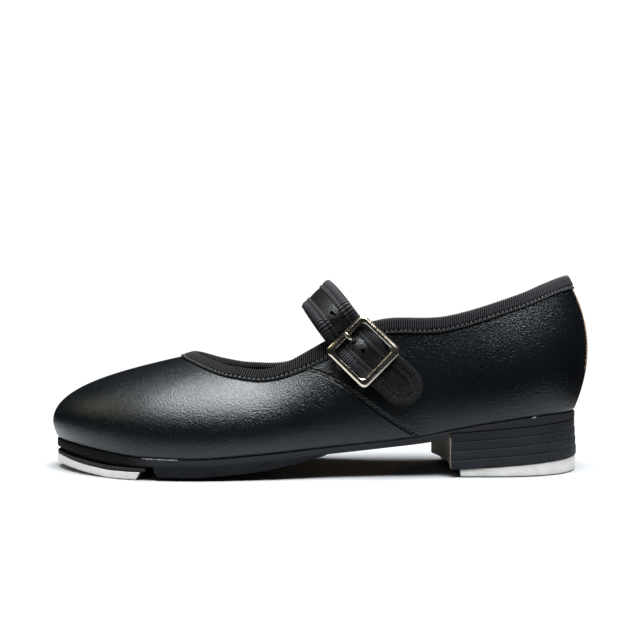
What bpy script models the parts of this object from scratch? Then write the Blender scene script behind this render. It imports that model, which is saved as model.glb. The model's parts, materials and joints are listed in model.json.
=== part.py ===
"""Left tap shoe of the one-strap, low-heeled kind, at rest on its taps.

The toe points to -X, the outer side of the foot faces -Y and up is +Z. Shapes are worked
out in millimetres and scaled to metres as each mesh is made.
"""

import math

import bmesh
import bpy
import numpy as np
from mathutils import Matrix, Vector
from mathutils.bvhtree import BVHTree

MM = 0.001
GAP = 0.25                 # air kept between two touching pieces

# Sole unit
TOE_SOLE = 3.4             # outsole thickness under the toe
WAIST_SOLE = 2.6           # outsole thickness under the arch
BREAST_EXTRA = 0.5         # and how much more it has at the heel breast
TAP_BOARD = 1.7            # fibre board above the toe tap
TOE_TAP = 3.3              # toe tap plate thickness
BOARD = 1.8                # insole board thickness
BOARD_RISE = 1.5           # outsole top to insole board underside
SOCK = 1.0                 # sock lining thickness
TOE_TAP_REAR = -78.0
TAP_BOARD_REAR = -75.5
SPACER_REAR = -83.0
TREAD_FRONT = -72.3
TREAD_REAR = 3.0

# Heel
BREAST_OUTER, BREAST_INNER = 57.5, 54.0    # x of the heel breast on each side
BREAST_HOLLOW = 2.5                        # how far the breast curves back in the middle
LIFTS = 4
LIFT_FLARE = 0.25                          # how much further out each lower lift stands
HEEL_BASE, HEEL_BASE_RISE = 3.3, 0.066     # underside of the lowest lift at x 57, and its slope
HEEL_SEAT, HEEL_SEAT_RISE = 19.0, 0.08     # top of the highest lift, the same
HEEL_TAP_SETBACK = 4.0                     # heel tap front edge behind the breast

# Upper
LEATHER = 1.1
LINING = 0.7
STIFFENER = 0.9
PUFF_SPAN, COUNTER_SPAN = (13, 25), (6, 18)   # columns of the toe half and of the heel half
BINDING = 0.55             # thickness of the grosgrain tape
BINDING_DROP = 6.3         # how far the tape reaches down the outside

# Strap and buckle
STRAP_WIDTH = 17.8
STRAP_LEATHER = 1.2
STRAP_TAPE = 0.45
STRAP_TAPE_DROP = 4.4      # how far the tape reaches in from the strap's edge
STRAP_TAIL = 31.0          # buckle centre to strap tip
HOLES = (-21.0, -14.0, 0.0)  # plain holes, from the buckle centre along the strap
FRAME_LONG, FRAME_WIDE = 24.2, 23.6
FRAME_END, FRAME_SIDE = 2.5, 2.2           # bar widths
FRAME_LOW, FRAME_HIGH = 4.15, 6.05           # frame underside and top above the quarter
BAR_RADIUS = 0.8
BAR_HEIGHT = 2.1           # centre bar axis above the quarter
BAR_REACH = FRAME_WIDE / 2 - FRAME_SIDE / 2 + 0.4      # its middle to its end

# Height of the outsole's upper face along the shoe: x, z.
SOLE_TOP = [(-123, 13.3), (-109, 12.3), (-95, 10.9), (-77, 9.3), (-55, 8.8), (-30, 10.2),
            (0, 12.9), (26, 15.3), (44, 17.6), (57, 20.0), (75, 23.2), (90, 25.3), (105, 26.6), (118, 27.0)]
# Underside of the rubber forepart tread and of the toe tap: x, z.
TREAD_BASE = [(-73, 1.0), (-56, 1.0), (-43, 1.7), (-30, 2.9), (-13, 5.8), (-4, 8.2), (3, 10.2)]
TAP_BASE = [(-123, 2.7), (-110, 1.5), (-100, 0.6), (-92, 0.0), (-78, 0.0)]

# One row per meridian of the upper, from the back seam round the outer side, the toe and
# the inner side: feather x, y; topline x, y, z; bulge above the feather and below the topline.
LAST = [
    (117, -3, 114, -2, 88.0, 9, 12),
    (108, -20, 106, -12, 86.0, 9, 11),
    (88, -28.5, 88, -22, 79.3, 7, 7),
    (56, -29.5, 56, -26, 70.0, 5, 4),
    (25, -31, 27, -27.5, 68.6, 5, 2.5),
    (0, -34, 4, -26, 59.6, 6, 3),
    (-28, -38.5, -20, -24.5, 47.2, 6, 8),
    (-55, -40.5, -37, -22.5, 47.2, 7, 10),
    (-80, -37, -47, -16.5, 49.2, 8, 15),
    (-99, -26.5, -54, -9, 51.4, 9.5, 21),
    (-114, -12, -57.5, -3, 52.4, 12, 27),
    (-122.5, 4, -58.5, 2, 52.6, 13.6, 30),
    (-119, 18, -57.5, 6.5, 52.4, 12, 27),
    (-105, 31, -54, 12.5, 51.2, 9.5, 21),
    (-80, 39, -46, 18.5, 48.6, 8, 15),
    (-45, 41, -33, 23.5, 46.4, 7, 12),
    (-12, 33, -14, 26, 47.2, 6, 7),
    (15, 24.5, 6, 27, 58.1, 9, 4),
    (38, 21.5, 30, 28, 66.1, 9, 5),
    (62, 23, 58, 26.5, 67.4, 8, 6),
    (90, 24, 88, 22, 76.0, 9, 8),
    (108, 14, 106, 12, 84.2, 9, 10),
]
AROUND = len(LAST)
# Meridian of each vamp seam: at the feather, then its change and bow up to the topline.
SEAM_OUTER = (3.38, 2.55, -0.3)
SEAM_INNER = (18.1, -2.3, 0.3)
TOE_MERIDIAN = 11.2

# The strap's underside route where it lies against nothing, from above the buckle over
# the instep to its root inside the inner quarter; on the quarter only x and z are given.
STRAP_ON_QUARTER = [(44.8, 32.2), (32.2, 43.6), (19.3, 54.9), (11.5, 63.6)]
STRAP_OVER_INSTEP = [(6.6, -28.45, 70.2), (2.8, -20.5, 75.2), (0.7, -10.5, 77.7), (0.2, -1, 78.2),
                     (1.2, 8, 77.0), (4, 14.5, 73.5), (8.5, 17.9, 68), (13.5, 19, 61.5),
                     (19, 19.3, 54.5)]
# Lean of the strap's width direction from upright, in degrees, and its y share, per point.
STRAP_LEAN = [44, 45, 46, 50, 51, 49, 46, 45, 45, 46, 47, 47, 47]
STRAP_TILT = [0.06, 0.05, 0.04, 0.012, 0.04, 0.04, 0, 0, 0, 0, -0.05, -0.1, -0.1]


# ---------------------------------------------------------------- curves

def through(knots, x):
    """A smooth height through (x, z) knots that never overshoots them, level past both ends."""
    xs, zs = (np.array(c, float) for c in zip(*knots))
    rates = np.diff(zs) / np.diff(xs)
    before, after = rates[:-1], rates[1:]
    steady = before * after > 0
    inner = np.where(steady, 2 * before * after / np.where(steady, before + after, 1), 0)
    slopes = np.concatenate([rates[:1], inner, rates[-1:]])
    x = min(max(float(x), xs[0]), xs[-1])
    i = min(int(np.searchsorted(xs, x, side="right")) - 1, len(xs) - 2)
    width = xs[i + 1] - xs[i]
    t = (x - xs[i]) / width
    return (zs[i] * (2 * t**3 - 3 * t**2 + 1) + slopes[i] * width * (t**3 - 2 * t**2 + t)
            + zs[i + 1] * (3 * t**2 - 2 * t**3) + slopes[i + 1] * width * (t**3 - t**2))


def catmull(rows, u, closed):
    """The row at position u of a smooth curve through all rows."""
    count = len(rows)
    i = math.floor(u) if closed else min(max(math.floor(u), 0), count - 2)
    t = u - i
    at = (lambda k: rows[k % count]) if closed else (lambda k: rows[min(max(k, 0), count - 1)])
    a, b, c, d = at(i - 1), at(i), at(i + 1), at(i + 2)
    return 0.5 * (2 * b + (c - a) * t + (2 * a - 5 * b + 4 * c - d) * t**2
                  + (3 * b - a - 3 * c + d) * t**3)


def fade(value, low, high):
    """0 below low, 1 above high, smooth between."""
    t = min(max((value - low) / (high - low), 0), 1)
    return t * t * (3 - 2 * t)


def unit(v):
    return v / np.linalg.norm(v)


# ---------------------------------------------------------------- the last

LAST_ROWS = np.array(LAST, float)
UP = np.array([0, 0, 1.0])


def sole_top(x):
    return through(SOLE_TOP, x)


def feather(u):
    x, y = catmull(LAST_ROWS, u, True)[:2]
    return np.array([x, y, sole_top(x) + GAP])


def outward(u):
    """Level direction out of the feather line."""
    dx, dy = (feather(u + 0.05) - feather(u - 0.05))[:2]
    return unit(np.array([-dy, dx, 0]))


def meridian(u):
    """Points of one line of the upper from feather to topline, evenly spaced."""
    row = catmull(LAST_ROWS, u, True)
    low, high = feather(u), row[2:5]
    out = outward(u)
    level = (low - high) * (1, 1, 0)
    lean = min(np.linalg.norm(level) / 40, 1)
    top_out = unit(out * (1 - lean) + unit(level) * lean)
    rise = high[2] - low[2]
    handle_low = low + out * row[5] + UP * rise * (0.32 + 0.27 * lean)
    handle_high = high + top_out * row[6] - UP * rise * (0.34 - 0.16 * lean)
    t = np.linspace(0, 1, 41)[:, None]
    line = ((1 - t)**3 * low + 3 * (1 - t)**2 * t * handle_low
            + 3 * (1 - t) * t**2 * handle_high + t**3 * high)
    run = np.concatenate([[0], np.cumsum(np.linalg.norm(np.diff(line, axis=0), axis=1))])
    even = np.linspace(0, run[-1], 41)
    return np.stack([np.interp(even, run, line[:, k]) for k in range(3)], axis=1), run[-1]


MERIDIANS = {}


def on_last(u, s):
    """Point of the upper's outer face: s is 0 at the feather and 1 at the topline."""
    key = round(u % AROUND, 5)
    if key not in MERIDIANS:
        MERIDIANS[key] = meridian(key)
    line, _ = MERIDIANS[key]
    place = min(max(s, 0), 1) * 40
    i = min(int(place), 39)
    point = line[i] + (line[i + 1] - line[i]) * (place - i)
    if s > 1:
        point = point + (line[40] - line[39]) * (s - 1) * 40
    return point


def length_of(u):
    on_last(u, 0)
    return MERIDIANS[round(u % AROUND, 5)][1]


def upper(u, s, h):
    """Point h outward of the upper's outer face."""
    inside = min(max(s, 0.03), 0.97)
    along = on_last(u + 0.06, inside) - on_last(u - 0.06, inside)
    rise = on_last(u, inside + 0.02) - on_last(u, inside - 0.02)
    return on_last(u, s) + unit(np.cross(rise, along)) * h


# ---------------------------------------------------------------- meshes

def material(name, colour, roughness, metallic=0.0):
    made = bpy.data.materials.new(name)
    made.use_nodes = True
    shader = made.node_tree.nodes["Principled BSDF"]
    shader.inputs["Base Color"].default_value = (*colour, 1)
    shader.inputs["Roughness"].default_value = roughness
    shader.inputs["Metallic"].default_value = metallic
    return made


def solid(name, points, faces, finish):
    """An object from points in millimetres."""
    mesh = bpy.data.meshes.new(name)
    mesh.from_pydata([tuple(float(c) * MM for c in p) for p in points], [], faces)
    work = bmesh.new()
    work.from_mesh(mesh)
    bmesh.ops.recalc_face_normals(work, faces=work.faces)
    if work.calc_volume(signed=True) < 0:
        bmesh.ops.reverse_faces(work, faces=work.faces)
    work.to_mesh(mesh)
    work.free()
    mesh.materials.append(finish)
    mesh.shade_smooth()
    mesh.set_sharp_from_angle(angle=math.radians(35))
    made = bpy.data.objects.new(name, mesh)
    bpy.context.scene.collection.objects.link(made)
    return made


def sheet_solid(name, front, back, finish):
    """A closed sheet between two equal grids of points, split the same way on both faces."""
    rows, columns = len(front), len(front[0])
    points = [p for row in front for p in row] + [p for row in back for p in row]
    half = rows * columns

    corners = [(r * columns + c, r * columns + c + 1, (r + 1) * columns + c + 1, (r + 1) * columns + c)
               for r in range(rows - 1) for c in range(columns - 1)]
    near = [t for a, b, c, d in corners for t in ((a, b, c), (a, c, d))]
    far = [tuple(i + half for i in t[::-1]) for t in near]

    rim = ([c for c in range(columns)]
           + [r * columns + columns - 1 for r in range(1, rows)]
           + [(rows - 1) * columns + c for c in range(columns - 2, -1, -1)]
           + [r * columns for r in range(rows - 2, 0, -1)])
    sides = [(a, b, b + half, a + half) for a, b in zip(rim, rim[1:] + rim[:1])]
    return solid(name, points, near + far + sides, finish)


def swept(name, rings, finish, closed=False):
    """A solid through equal rings of points, capped at both ends unless closed."""
    size, count = len(rings[0]), len(rings)
    points = [p for ring in rings for p in ring]
    faces = []
    for r in range(count if closed else count - 1):
        a, b = r * size, (r + 1) % count * size
        faces += [(a + k, a + (k + 1) % size, b + (k + 1) % size, b + k) for k in range(size)]
    if not closed:
        faces += [tuple(range(size))[::-1], tuple(range((count - 1) * size, count * size))]
    return solid(name, points, faces, finish)


def turned(profile, sides):
    """Rings of points turned about Z from (radius, z) pairs."""
    angles = [2 * math.pi * k / sides for k in range(sides)]
    return [[(r * math.cos(a), r * math.sin(a), z) for a in angles] for r, z in profile]


# ---------------------------------------------------------------- upper

# Every layer of the upper uses the same rows and columns, so that its facets stay parallel.
ROWS = (0, 0.08, 0.17, 0.29, 0.44, 0.62, 0.8, 0.92, 1)
TOE_COLUMNS, INNER_COLUMNS, OUTER_COLUMNS = 36, 12, 13
SLIT = 0.012               # half the gap along a seam, in meridians


def toe_columns(s):
    """Meridians of the toe half's columns at height s, from the outer seam to the inner one."""
    first, last = (a + b * s + c * s * s for a, b, c in (SEAM_OUTER, SEAM_INNER))
    return np.linspace(first, last, TOE_COLUMNS + 1)


def heel_columns(s):
    """The same round the heel, from the inner seam past the back seam to the outer one."""
    first, last = (a + b * s + c * s * s for a, b, c in (SEAM_INNER, SEAM_OUTER))
    return np.concatenate([np.linspace(first, AROUND, INNER_COLUMNS + 1),
                           np.linspace(AROUND, AROUND + last, OUTER_COLUMNS + 1)[1:]])


def upper_sheet(name, columns, span, rows, outer, inner, finish):
    """A piece of the upper over a span of columns and rows, between two offsets."""
    front, back = [], []
    for s in rows:
        us = columns(s)[span[0]:span[1] + 1].copy()
        us[0] += SLIT
        us[-1] -= SLIT
        front.append([upper(u, s, outer(u, s)) for u in us])
        back.append([upper(u, s, inner(u, s)) for u in us])
    return sheet_solid(name, front, back, finish)


def stiffener_room(u, s):
    """1 where a toe puff or heel counter lies between leather and lining, 0 elsewhere."""
    from_toe = abs(u - TOE_MERIDIAN)
    from_back = min(u % AROUND, AROUND - u % AROUND)
    zone = max(1 - fade(from_toe, 2.6, 3.6), 1 - fade(from_back, 2.85, 3.5))
    return zone * (1 - fade(s, 0.62, 0.8))


def lining_face(u, s):
    return -(LEATHER + GAP + (STIFFENER + GAP) * stiffener_room(u, s))


def make_upper(leather, lining, board, tape):
    whole_toe, whole_heel = (0, TOE_COLUMNS), (0, INNER_COLUMNS + OUTER_COLUMNS)
    for name, columns, span in (("vamp", toe_columns, whole_toe),
                                ("quarter_medial", heel_columns, (0, INNER_COLUMNS)),
                                ("quarter_lateral", heel_columns, (INNER_COLUMNS, whole_heel[1]))):
        upper_sheet(name, columns, span, ROWS, lambda u, s: 0, lambda u, s: -LEATHER, leather)
    for name, columns, span in (("vamp_lining", toe_columns, whole_toe),
                                ("quarter_lining", heel_columns, whole_heel)):
        upper_sheet(name, columns, span, ROWS, lining_face,
                    lambda u, s: lining_face(u, s) - LINING, lining)
    for name, columns, span in (("toe_puff", toe_columns, PUFF_SPAN),
                                ("heel_counter", heel_columns, COUNTER_SPAN)):
        upper_sheet(name, columns, span, ROWS[:6], lambda u, s: -LEATHER - GAP,
                    lambda u, s: -LEATHER - GAP - STIFFENER, board)
    make_topline_binding(tape)


def binding_profile():
    """The folded tape in section: distance below the topline, and outward of the leather."""
    far = -(LEATHER + GAP + LINING) - GAP
    near = GAP + 0.14
    out, back, over = near + BINDING, far - BINDING, -GAP - BINDING
    return [(BINDING_DROP, near), (BINDING_DROP, out), (-0.1, out), (over, near), (over, far),
            (-0.1, back), (BINDING_DROP - 0.5, back), (BINDING_DROP - 0.5, far), (-GAP, far),
            (-GAP, near)]


def make_topline_binding(tape):
    rings = []
    for columns, count in ((toe_columns, TOE_COLUMNS), (heel_columns, INNER_COLUMNS + OUTER_COLUMNS)):
        for k in range(count):
            whole = length_of(columns(1)[k])
            ring = []
            for down, out in binding_profile():
                s = 1 - down / whole
                ring.append(upper(columns(s)[k], s, out))
            rings.append(ring)
    # The toe half runs on from the outer seam to the inner one, where the heel half starts.
    swept("topline_binding", rings, tape, closed=True)


# ---------------------------------------------------------------- sole and heel

def outline(inset):
    """The sole's outer and inner edge as x-sorted lines, moved in by inset."""
    us = np.linspace(0, AROUND, 441)
    line = np.array([(feather(u) - outward(u) * inset)[:2] for u in us])
    toe = int(np.argmin(line[:, 0]))
    heel = int(np.argmax(line[:, 0]))
    rolled = np.roll(line[:-1], -heel, axis=0)
    toe = int(np.argmin(rolled[:, 0]))
    return rolled[:toe + 1][::-1], np.vstack([rolled[toe:], rolled[:1]])


def slab(name, inset, ends, top, bottom, finish, stations=24, across=1, hollow=0.0):
    """A plate of the sole's outline. ends holds its front and rear x, each a number, or a
    pair for the outer and inner side, or None for the outline's own end."""
    outer, inner = outline(inset)
    limits = (outer[0, 0] + 0.12, outer[-1, 0] - 0.12)
    front, rear = ((limits[k],) * 2 if e is None else e if isinstance(e, tuple) else (e, e)
                   for k, e in enumerate(ends))
    tops, bottoms = [], []
    for k in range(stations + 1):
        share = k / stations
        if ends[0] is None and ends[1] is None:
            share = (1 - math.cos(math.pi * share)) / 2
        elif ends[0] is None:
            share = 1 - math.cos(math.pi / 2 * share)
        elif ends[1] is None:
            share = math.sin(math.pi / 2 * share)
        xs = [f + (r - f) * share for f, r in zip(front, rear)]
        ys = np.interp(xs[0], *outer.T), np.interp(xs[1], *inner.T)
        row = []
        for j in range(across + 1):
            w = j / across
            back = hollow * 4 * w * (1 - w) * (1 - fade(share, 0, 0.5))
            row.append((xs[0] + (xs[1] - xs[0]) * w + back, ys[0] + (ys[1] - ys[0]) * w))
        tops.append([(x, y, top(x)) for x, y in row])
        bottoms.append([(x, y, bottom(x)) for x, y in row])
    return sheet_solid(name, tops, bottoms, finish)


def heel_plane(level):
    """Height of the joint above that many lifts."""
    share = level / LIFTS
    rise = HEEL_BASE_RISE + (HEEL_SEAT_RISE - HEEL_BASE_RISE) * share
    return lambda x: HEEL_BASE + (HEEL_SEAT - HEEL_BASE) * share + rise * (x - 57)


def outsole_base(x):
    """Underside of the outsole before it is cut for the heel seat."""
    toe, breast = 1 - fade(x, -80, -60), fade(x, 25, 57)
    plain = sole_top(x) - WAIST_SOLE - (TOE_SOLE - WAIST_SOLE) * toe - BREAST_EXTRA * breast
    return min(plain, heel_plane(LIFTS)(x)) if x > BREAST_OUTER else plain


def tap_base(x):
    return through(TAP_BASE, x)


def make_sole(rubber, fibre, metal, cork, steel, felt):
    slab("outsole", -0.4, (None, None), sole_top, outsole_base, rubber, stations=56)
    seat = slab("heel_seat", -0.8, (tuple(x - 0.4 for x in (BREAST_OUTER, BREAST_INNER)), None),
                lambda x: heel_plane(LIFTS)(x) + GAP, lambda x: 5, rubber, stations=12, across=6,
                hollow=BREAST_HOLLOW)
    seat.hide_render = True
    seat.display_type = "WIRE"
    cut(["outsole"], seat)
    slab("forepart_tread", -0.2, (TREAD_FRONT, TREAD_REAR), lambda x: outsole_base(x) - GAP,
         lambda x: through(TREAD_BASE, x), rubber, stations=16)
    slab("toe_tap_board", -0.2, (None, TAP_BOARD_REAR),
         lambda x: tap_base(x) + TOE_TAP + GAP + TAP_BOARD, lambda x: tap_base(x) + TOE_TAP + GAP,
         fibre, stations=16)
    slab("toe_tap_spacer", 2.2, (None, SPACER_REAR), lambda x: outsole_base(x) - GAP,
         lambda x: tap_base(x) + TOE_TAP + TAP_BOARD + 2 * GAP, fibre, stations=12)
    slab("toe_tap", -0.3, (None, TOE_TAP_REAR), lambda x: tap_base(x) + TOE_TAP, tap_base, metal,
         stations=18)
    make_insole(fibre, cork, steel, felt)


def make_insole(fibre, cork, steel, felt):
    def board_base(x):
        return sole_top(x) + BOARD_RISE

    slab("insole_board", 5.0, (None, None), lambda x: board_base(x) + BOARD, board_base, fibre,
         stations=26)
    slab("sock_lining", 5.2, (None, None), lambda x: board_base(x) + BOARD + GAP + SOCK,
         lambda x: board_base(x) + BOARD + GAP, felt, stations=26)
    slab("bottom_filler", 9.0, (-100.0, -12.0), lambda x: board_base(x) - GAP,
         lambda x: sole_top(x) + GAP, cork, stations=10)
    shank_half, shank_middle = 6.0, -4.0
    rows = [[(x, shank_middle + side * shank_half, sole_top(x) + lift) for side in (-1, 1)]
            for x in np.linspace(-8, 66, 12) for lift in (GAP, GAP + 1.0)]
    sheet_solid("shank", rows[1::2], rows[0::2], steel)


def make_heel(stack, metal):
    breast = (BREAST_OUTER, BREAST_INNER)
    for level in range(LIFTS):
        below, above = heel_plane(level), heel_plane(level + 1)
        clear = GAP if level < LIFTS - 1 else 0
        flare = LIFT_FLARE * (LIFTS - 1 - level)
        slab(f"heel_lift_{level + 1}", -0.3 - flare, (breast, None),
             lambda x, f=above, c=clear: f(x) - c, below, stack, stations=12, across=6,
             hollow=BREAST_HOLLOW)
    tap_front = tuple(x + HEEL_TAP_SETBACK for x in breast)
    slab("heel_tap", -0.6, (tap_front, None), lambda x: heel_plane(0)(x) - GAP, lambda x: 0,
         metal, stations=12, across=4, hollow=BREAST_HOLLOW)


# ---------------------------------------------------------------- fasteners

def fastener(name, profile, place, finish, sides=8):
    made = swept(name, turned(profile, sides), finish)
    made.location = Vector(place) * MM
    return made


def grown(profile, by):
    """The profile of the hole that a fastener needs."""
    first, last = profile[0], profile[-1]
    return ([(first[0] + by, first[1] - by)] + [(r + by, z) for r, z in profile[1:-1]]
            + [(last[0] + by, last[1] + by)])


def make_fasteners(screw_steel, nail_steel):
    """Countersunk tap screws, driven upwards, and heel nails, driven down through the board."""
    toe_screw = [(2.6, 0.2), (2.6, 0.5), (1.2, 1.9), (1.2, 6.2), (0.5, 7.2)]
    heel_screw = [(2.6, 0.2), (2.6, 0.5), (1.2, 1.9), (1.2, 12.5), (0.4, 14.0)]
    head = sole_top(88) + BOARD_RISE + BOARD
    nail = [(0.3, -17.5), (0.9, -16.0), (0.9, -1.2), (1.9, -0.8), (1.9, -0.2)]
    placed = []
    for number, (x, y) in enumerate([(-112, 4), (-88, -24), (-88, 27)], 1):
        placed.append((f"toe_tap_screw_{number}", toe_screw, (x, y, tap_base(x)), screw_steel))
    for number, (x, y) in enumerate([(109, -3), (71, -20), (70, 14)], 1):
        placed.append((f"heel_tap_screw_{number}", heel_screw, (x, y, 0), screw_steel))
    for number, (x, y) in enumerate([(100, -3), (88, -19), (88, 14), (72, -3)], 1):
        drop = sole_top(x) - sole_top(88)
        placed.append((f"heel_nail_{number}", nail, (x, y, head + drop), nail_steel))
    rings = []
    for name, profile, place, finish in placed:
        fastener(name, profile, place, finish)
        rings.append([[tuple(np.add(p, place)) for p in ring]
                      for ring in turned(grown(profile, 0.2), 8)])
    return rings


def joined_cutter(name, shapes, finish):
    """One hidden cutter of several separate closed shapes, each a list of rings."""
    whole = bmesh.new()
    for rings in shapes:
        part = swept(name, rings, finish)
        whole.from_mesh(part.data)
        bpy.data.objects.remove(part)
    mesh = bpy.data.meshes.new(name)
    whole.to_mesh(mesh)
    whole.free()
    cutter = bpy.data.objects.new(name, mesh)
    bpy.context.scene.collection.objects.link(cutter)
    cutter.hide_render = True
    cutter.display_type = "WIRE"
    return cutter


def cut(names, cutter):
    for name in names:
        cutting = bpy.data.objects[name].modifiers.new("holes", "BOOLEAN")
        cutting.object = cutter
        cutting.operation = "DIFFERENCE"


# ---------------------------------------------------------------- strap

def outer_wall():
    """The outer half of the upper as a tree, to find the strap's place on it."""
    us, heights = np.linspace(0.5, 8, 46), np.linspace(0, 1.3, 27)
    points = [Vector(on_last(u, s)) for u in us for s in heights]
    n = len(heights)
    faces = [(i * n + j, i * n + j + 1, (i + 1) * n + j + 1, (i + 1) * n + j)
             for i in range(len(us) - 1) for j in range(n - 1)]
    return BVHTree.FromPolygons(points, faces)


class StrapRoute:
    """The strap's way from tail to root: s is 0 at the buckle and negative towards the root."""

    def __init__(self):
        wall = outer_wall()
        hits = [wall.ray_cast(Vector((x, -90, z)), Vector((0, 1, 0)))[0] for x, z in STRAP_ON_QUARTER]
        knots = np.array([tuple(h) for h in hits] + STRAP_OVER_INSTEP)
        leans = np.radians(np.array(STRAP_LEAN, float))
        widths = np.stack([np.sin(leans), STRAP_TILT, np.cos(leans)], axis=1)
        rows = np.hstack([knots, widths])
        places = np.linspace(0, len(rows) - 1, 12 * (len(rows) - 1) + 1)
        self.line = np.array([catmull(rows, p, False) for p in places])
        steps = np.linalg.norm(np.diff(self.line[:, :3], axis=0), axis=1)
        run = np.concatenate([[0], np.cumsum(steps)])
        buckle = run[2 * 12]
        self.s = buckle - run
        self.tip, self.root = self.s[0], self.s[-1]

    def _read(self, s, first, last):
        return np.array([np.interp(s, self.s[::-1], self.line[::-1, k]) for k in range(first, last)])

    def base(self, s):
        if s > self.tip:
            return self.base(self.tip) + self.along(self.tip) * (s - self.tip)
        return self._read(s, 0, 3)

    def along(self, s):
        s = min(s, self.tip - 2)
        return unit(self._read(min(s + 1.5, self.tip), 0, 3) - self._read(max(s - 1.5, self.root), 0, 3))

    def frame(self, s):
        """Unit vectors along the strap, across it and out of it."""
        along = self.along(s)
        wide = self._read(s, 3, 6)
        wide = unit(wide - along * (wide @ along))
        return along, wide, np.cross(along, wide)

    def lift(self, s):
        """Height of the strap's middle over its route: it rides over the centre bar."""
        over_bar = 2.1 * (0.5 + 0.5 * math.cos(math.pi * min(abs(s), 8.6) / 8.6))
        return 2.55 + over_bar - 0.85 * fade(s, 13, 22) + 0.5 * fade(-s, 11.5, 16)

    def above(self, s, w, h):
        """A place h above the route."""
        _, wide, out = self.frame(s)
        return self.base(s) + wide * w + out * h

    def point(self, s, w, h):
        """A place h above the strap's middle."""
        return self.above(s, w, self.lift(s) + h)

    def fixed(self, s, w, h):
        """Like point, but in the buckle's own flat frame."""
        along, wide, out = self.frame(0)
        return self.base(0) + along * s + wide * w + out * h


def strap_stations(root, tip):
    coarse = [s for s in np.arange(root, -12.5, 4.5)]
    fine = list(np.arange(-12, 12.5, 2.4))
    return coarse + fine + list(np.arange(15, tip, 3.5))


def half_width_at(s, tip, half, nose):
    """Half the strap's width, closing in a round nose at the tip."""
    if s <= tip - nose:
        return half
    return half * math.sqrt(max(1 - ((s - tip + nose) / nose)**2, 0))


def make_strap(route, leather, tape):
    half = STRAP_WIDTH / 2
    inner_half = half - STRAP_TAPE - GAP
    tip = STRAP_TAIL
    inner_tip = tip - STRAP_TAPE - GAP
    nose = half + 1
    stations = strap_stations(route.root, tip - nose)
    stations += [inner_tip - (nose - 1) * (1 - math.sin(a)) for a in np.linspace(0.15, 1.35, 6)]
    top, bottom = [], []
    for s in stations:
        reach = half_width_at(s, inner_tip, inner_half, nose - 1)
        row = np.linspace(-reach, reach, 4)
        top.append([route.point(s, w, STRAP_LEATHER / 2) for w in row])
        bottom.append([route.point(s, w, -STRAP_LEATHER / 2) for w in row])
    sheet_solid("strap_leather", top, bottom, leather)

    near = STRAP_LEATHER / 2 + GAP
    far = near + STRAP_TAPE
    section = [(STRAP_TAPE_DROP, near), (STRAP_TAPE_DROP, far), (0.2, far), (0, 0), (0.2, -far),
               (STRAP_TAPE_DROP, -far), (STRAP_TAPE_DROP, -near), (STRAP_TAPE, -near),
               (STRAP_TAPE, near)]
    straight = strap_stations(route.root, tip - nose)
    path = [(s, half, 0.0, 1.0) for s in straight]
    path += [(tip - nose + nose * math.sin(a), half * math.cos(a), math.sin(a), math.cos(a))
             for a in np.linspace(0, math.pi, 13)]
    path += [(s, -half, 0.0, -1.0) for s in straight[::-1]]
    rings = [[route.point(s - ns * inward, w - nw * inward, h) for inward, h in section]
             for s, w, ns, nw in path]
    swept("strap_binding", rings, tape)
    hang_on_root(route)


def hang_on_root(route):
    """Parents the strap to an empty on the line it folds about, at its sewn end."""
    hinge = bpy.data.objects.new("strap_root", None)
    bpy.context.scene.collection.objects.link(hinge)
    hinge.location = Vector(route.point(route.root, 0, 0)) * MM
    for name in ("strap_leather", "strap_binding"):
        piece = bpy.data.objects[name]
        piece.parent = hinge
        piece.location = -hinge.location


def strap_hole_cutters(route):
    """Round holes, and the slot that the prong stands in."""
    shapes = []
    for s in HOLES:
        centre = np.array([s, 0.0])
        shapes.append([[route.point(centre[0] + 1.1 * math.cos(a), 1.1 * math.sin(a), h)
                        for a in np.linspace(0, 2 * math.pi, 12, endpoint=False)] for h in (-2, 2)])
    slot = [(-7.9 if k in (1, 2) else -4.3, 1.05 if k > 1 else -1.05) for k in range(4)]
    shapes.append([[route.point(s, w, h) for s, w in slot] for h in (-2, 2)])
    return shapes


# ---------------------------------------------------------------- buckle

def rounded(long, wide, radius, corner=4):
    """Points of a rounded rectangle, anticlockwise."""
    points = []
    for k, (sx, sy) in enumerate([(1, 1), (-1, 1), (-1, -1), (1, -1)]):
        for j in range(corner + 1):
            a = math.pi / 2 * (k + j / corner)
            points.append((sx * (long / 2 - radius) + radius * math.cos(a),
                           sy * (wide / 2 - radius) + radius * math.sin(a)))
    return points


def in_buckle(route, local):
    """Places (s, w, h) points in the buckle's frame, as offsets from the bar's axis."""
    return [tuple(route.fixed(*p) - route.fixed(0, 0, BAR_HEIGHT)) for p in local]


def place_on_bar(made, route):
    made.location = Vector(route.fixed(0, 0, BAR_HEIGHT)) * MM


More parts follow.
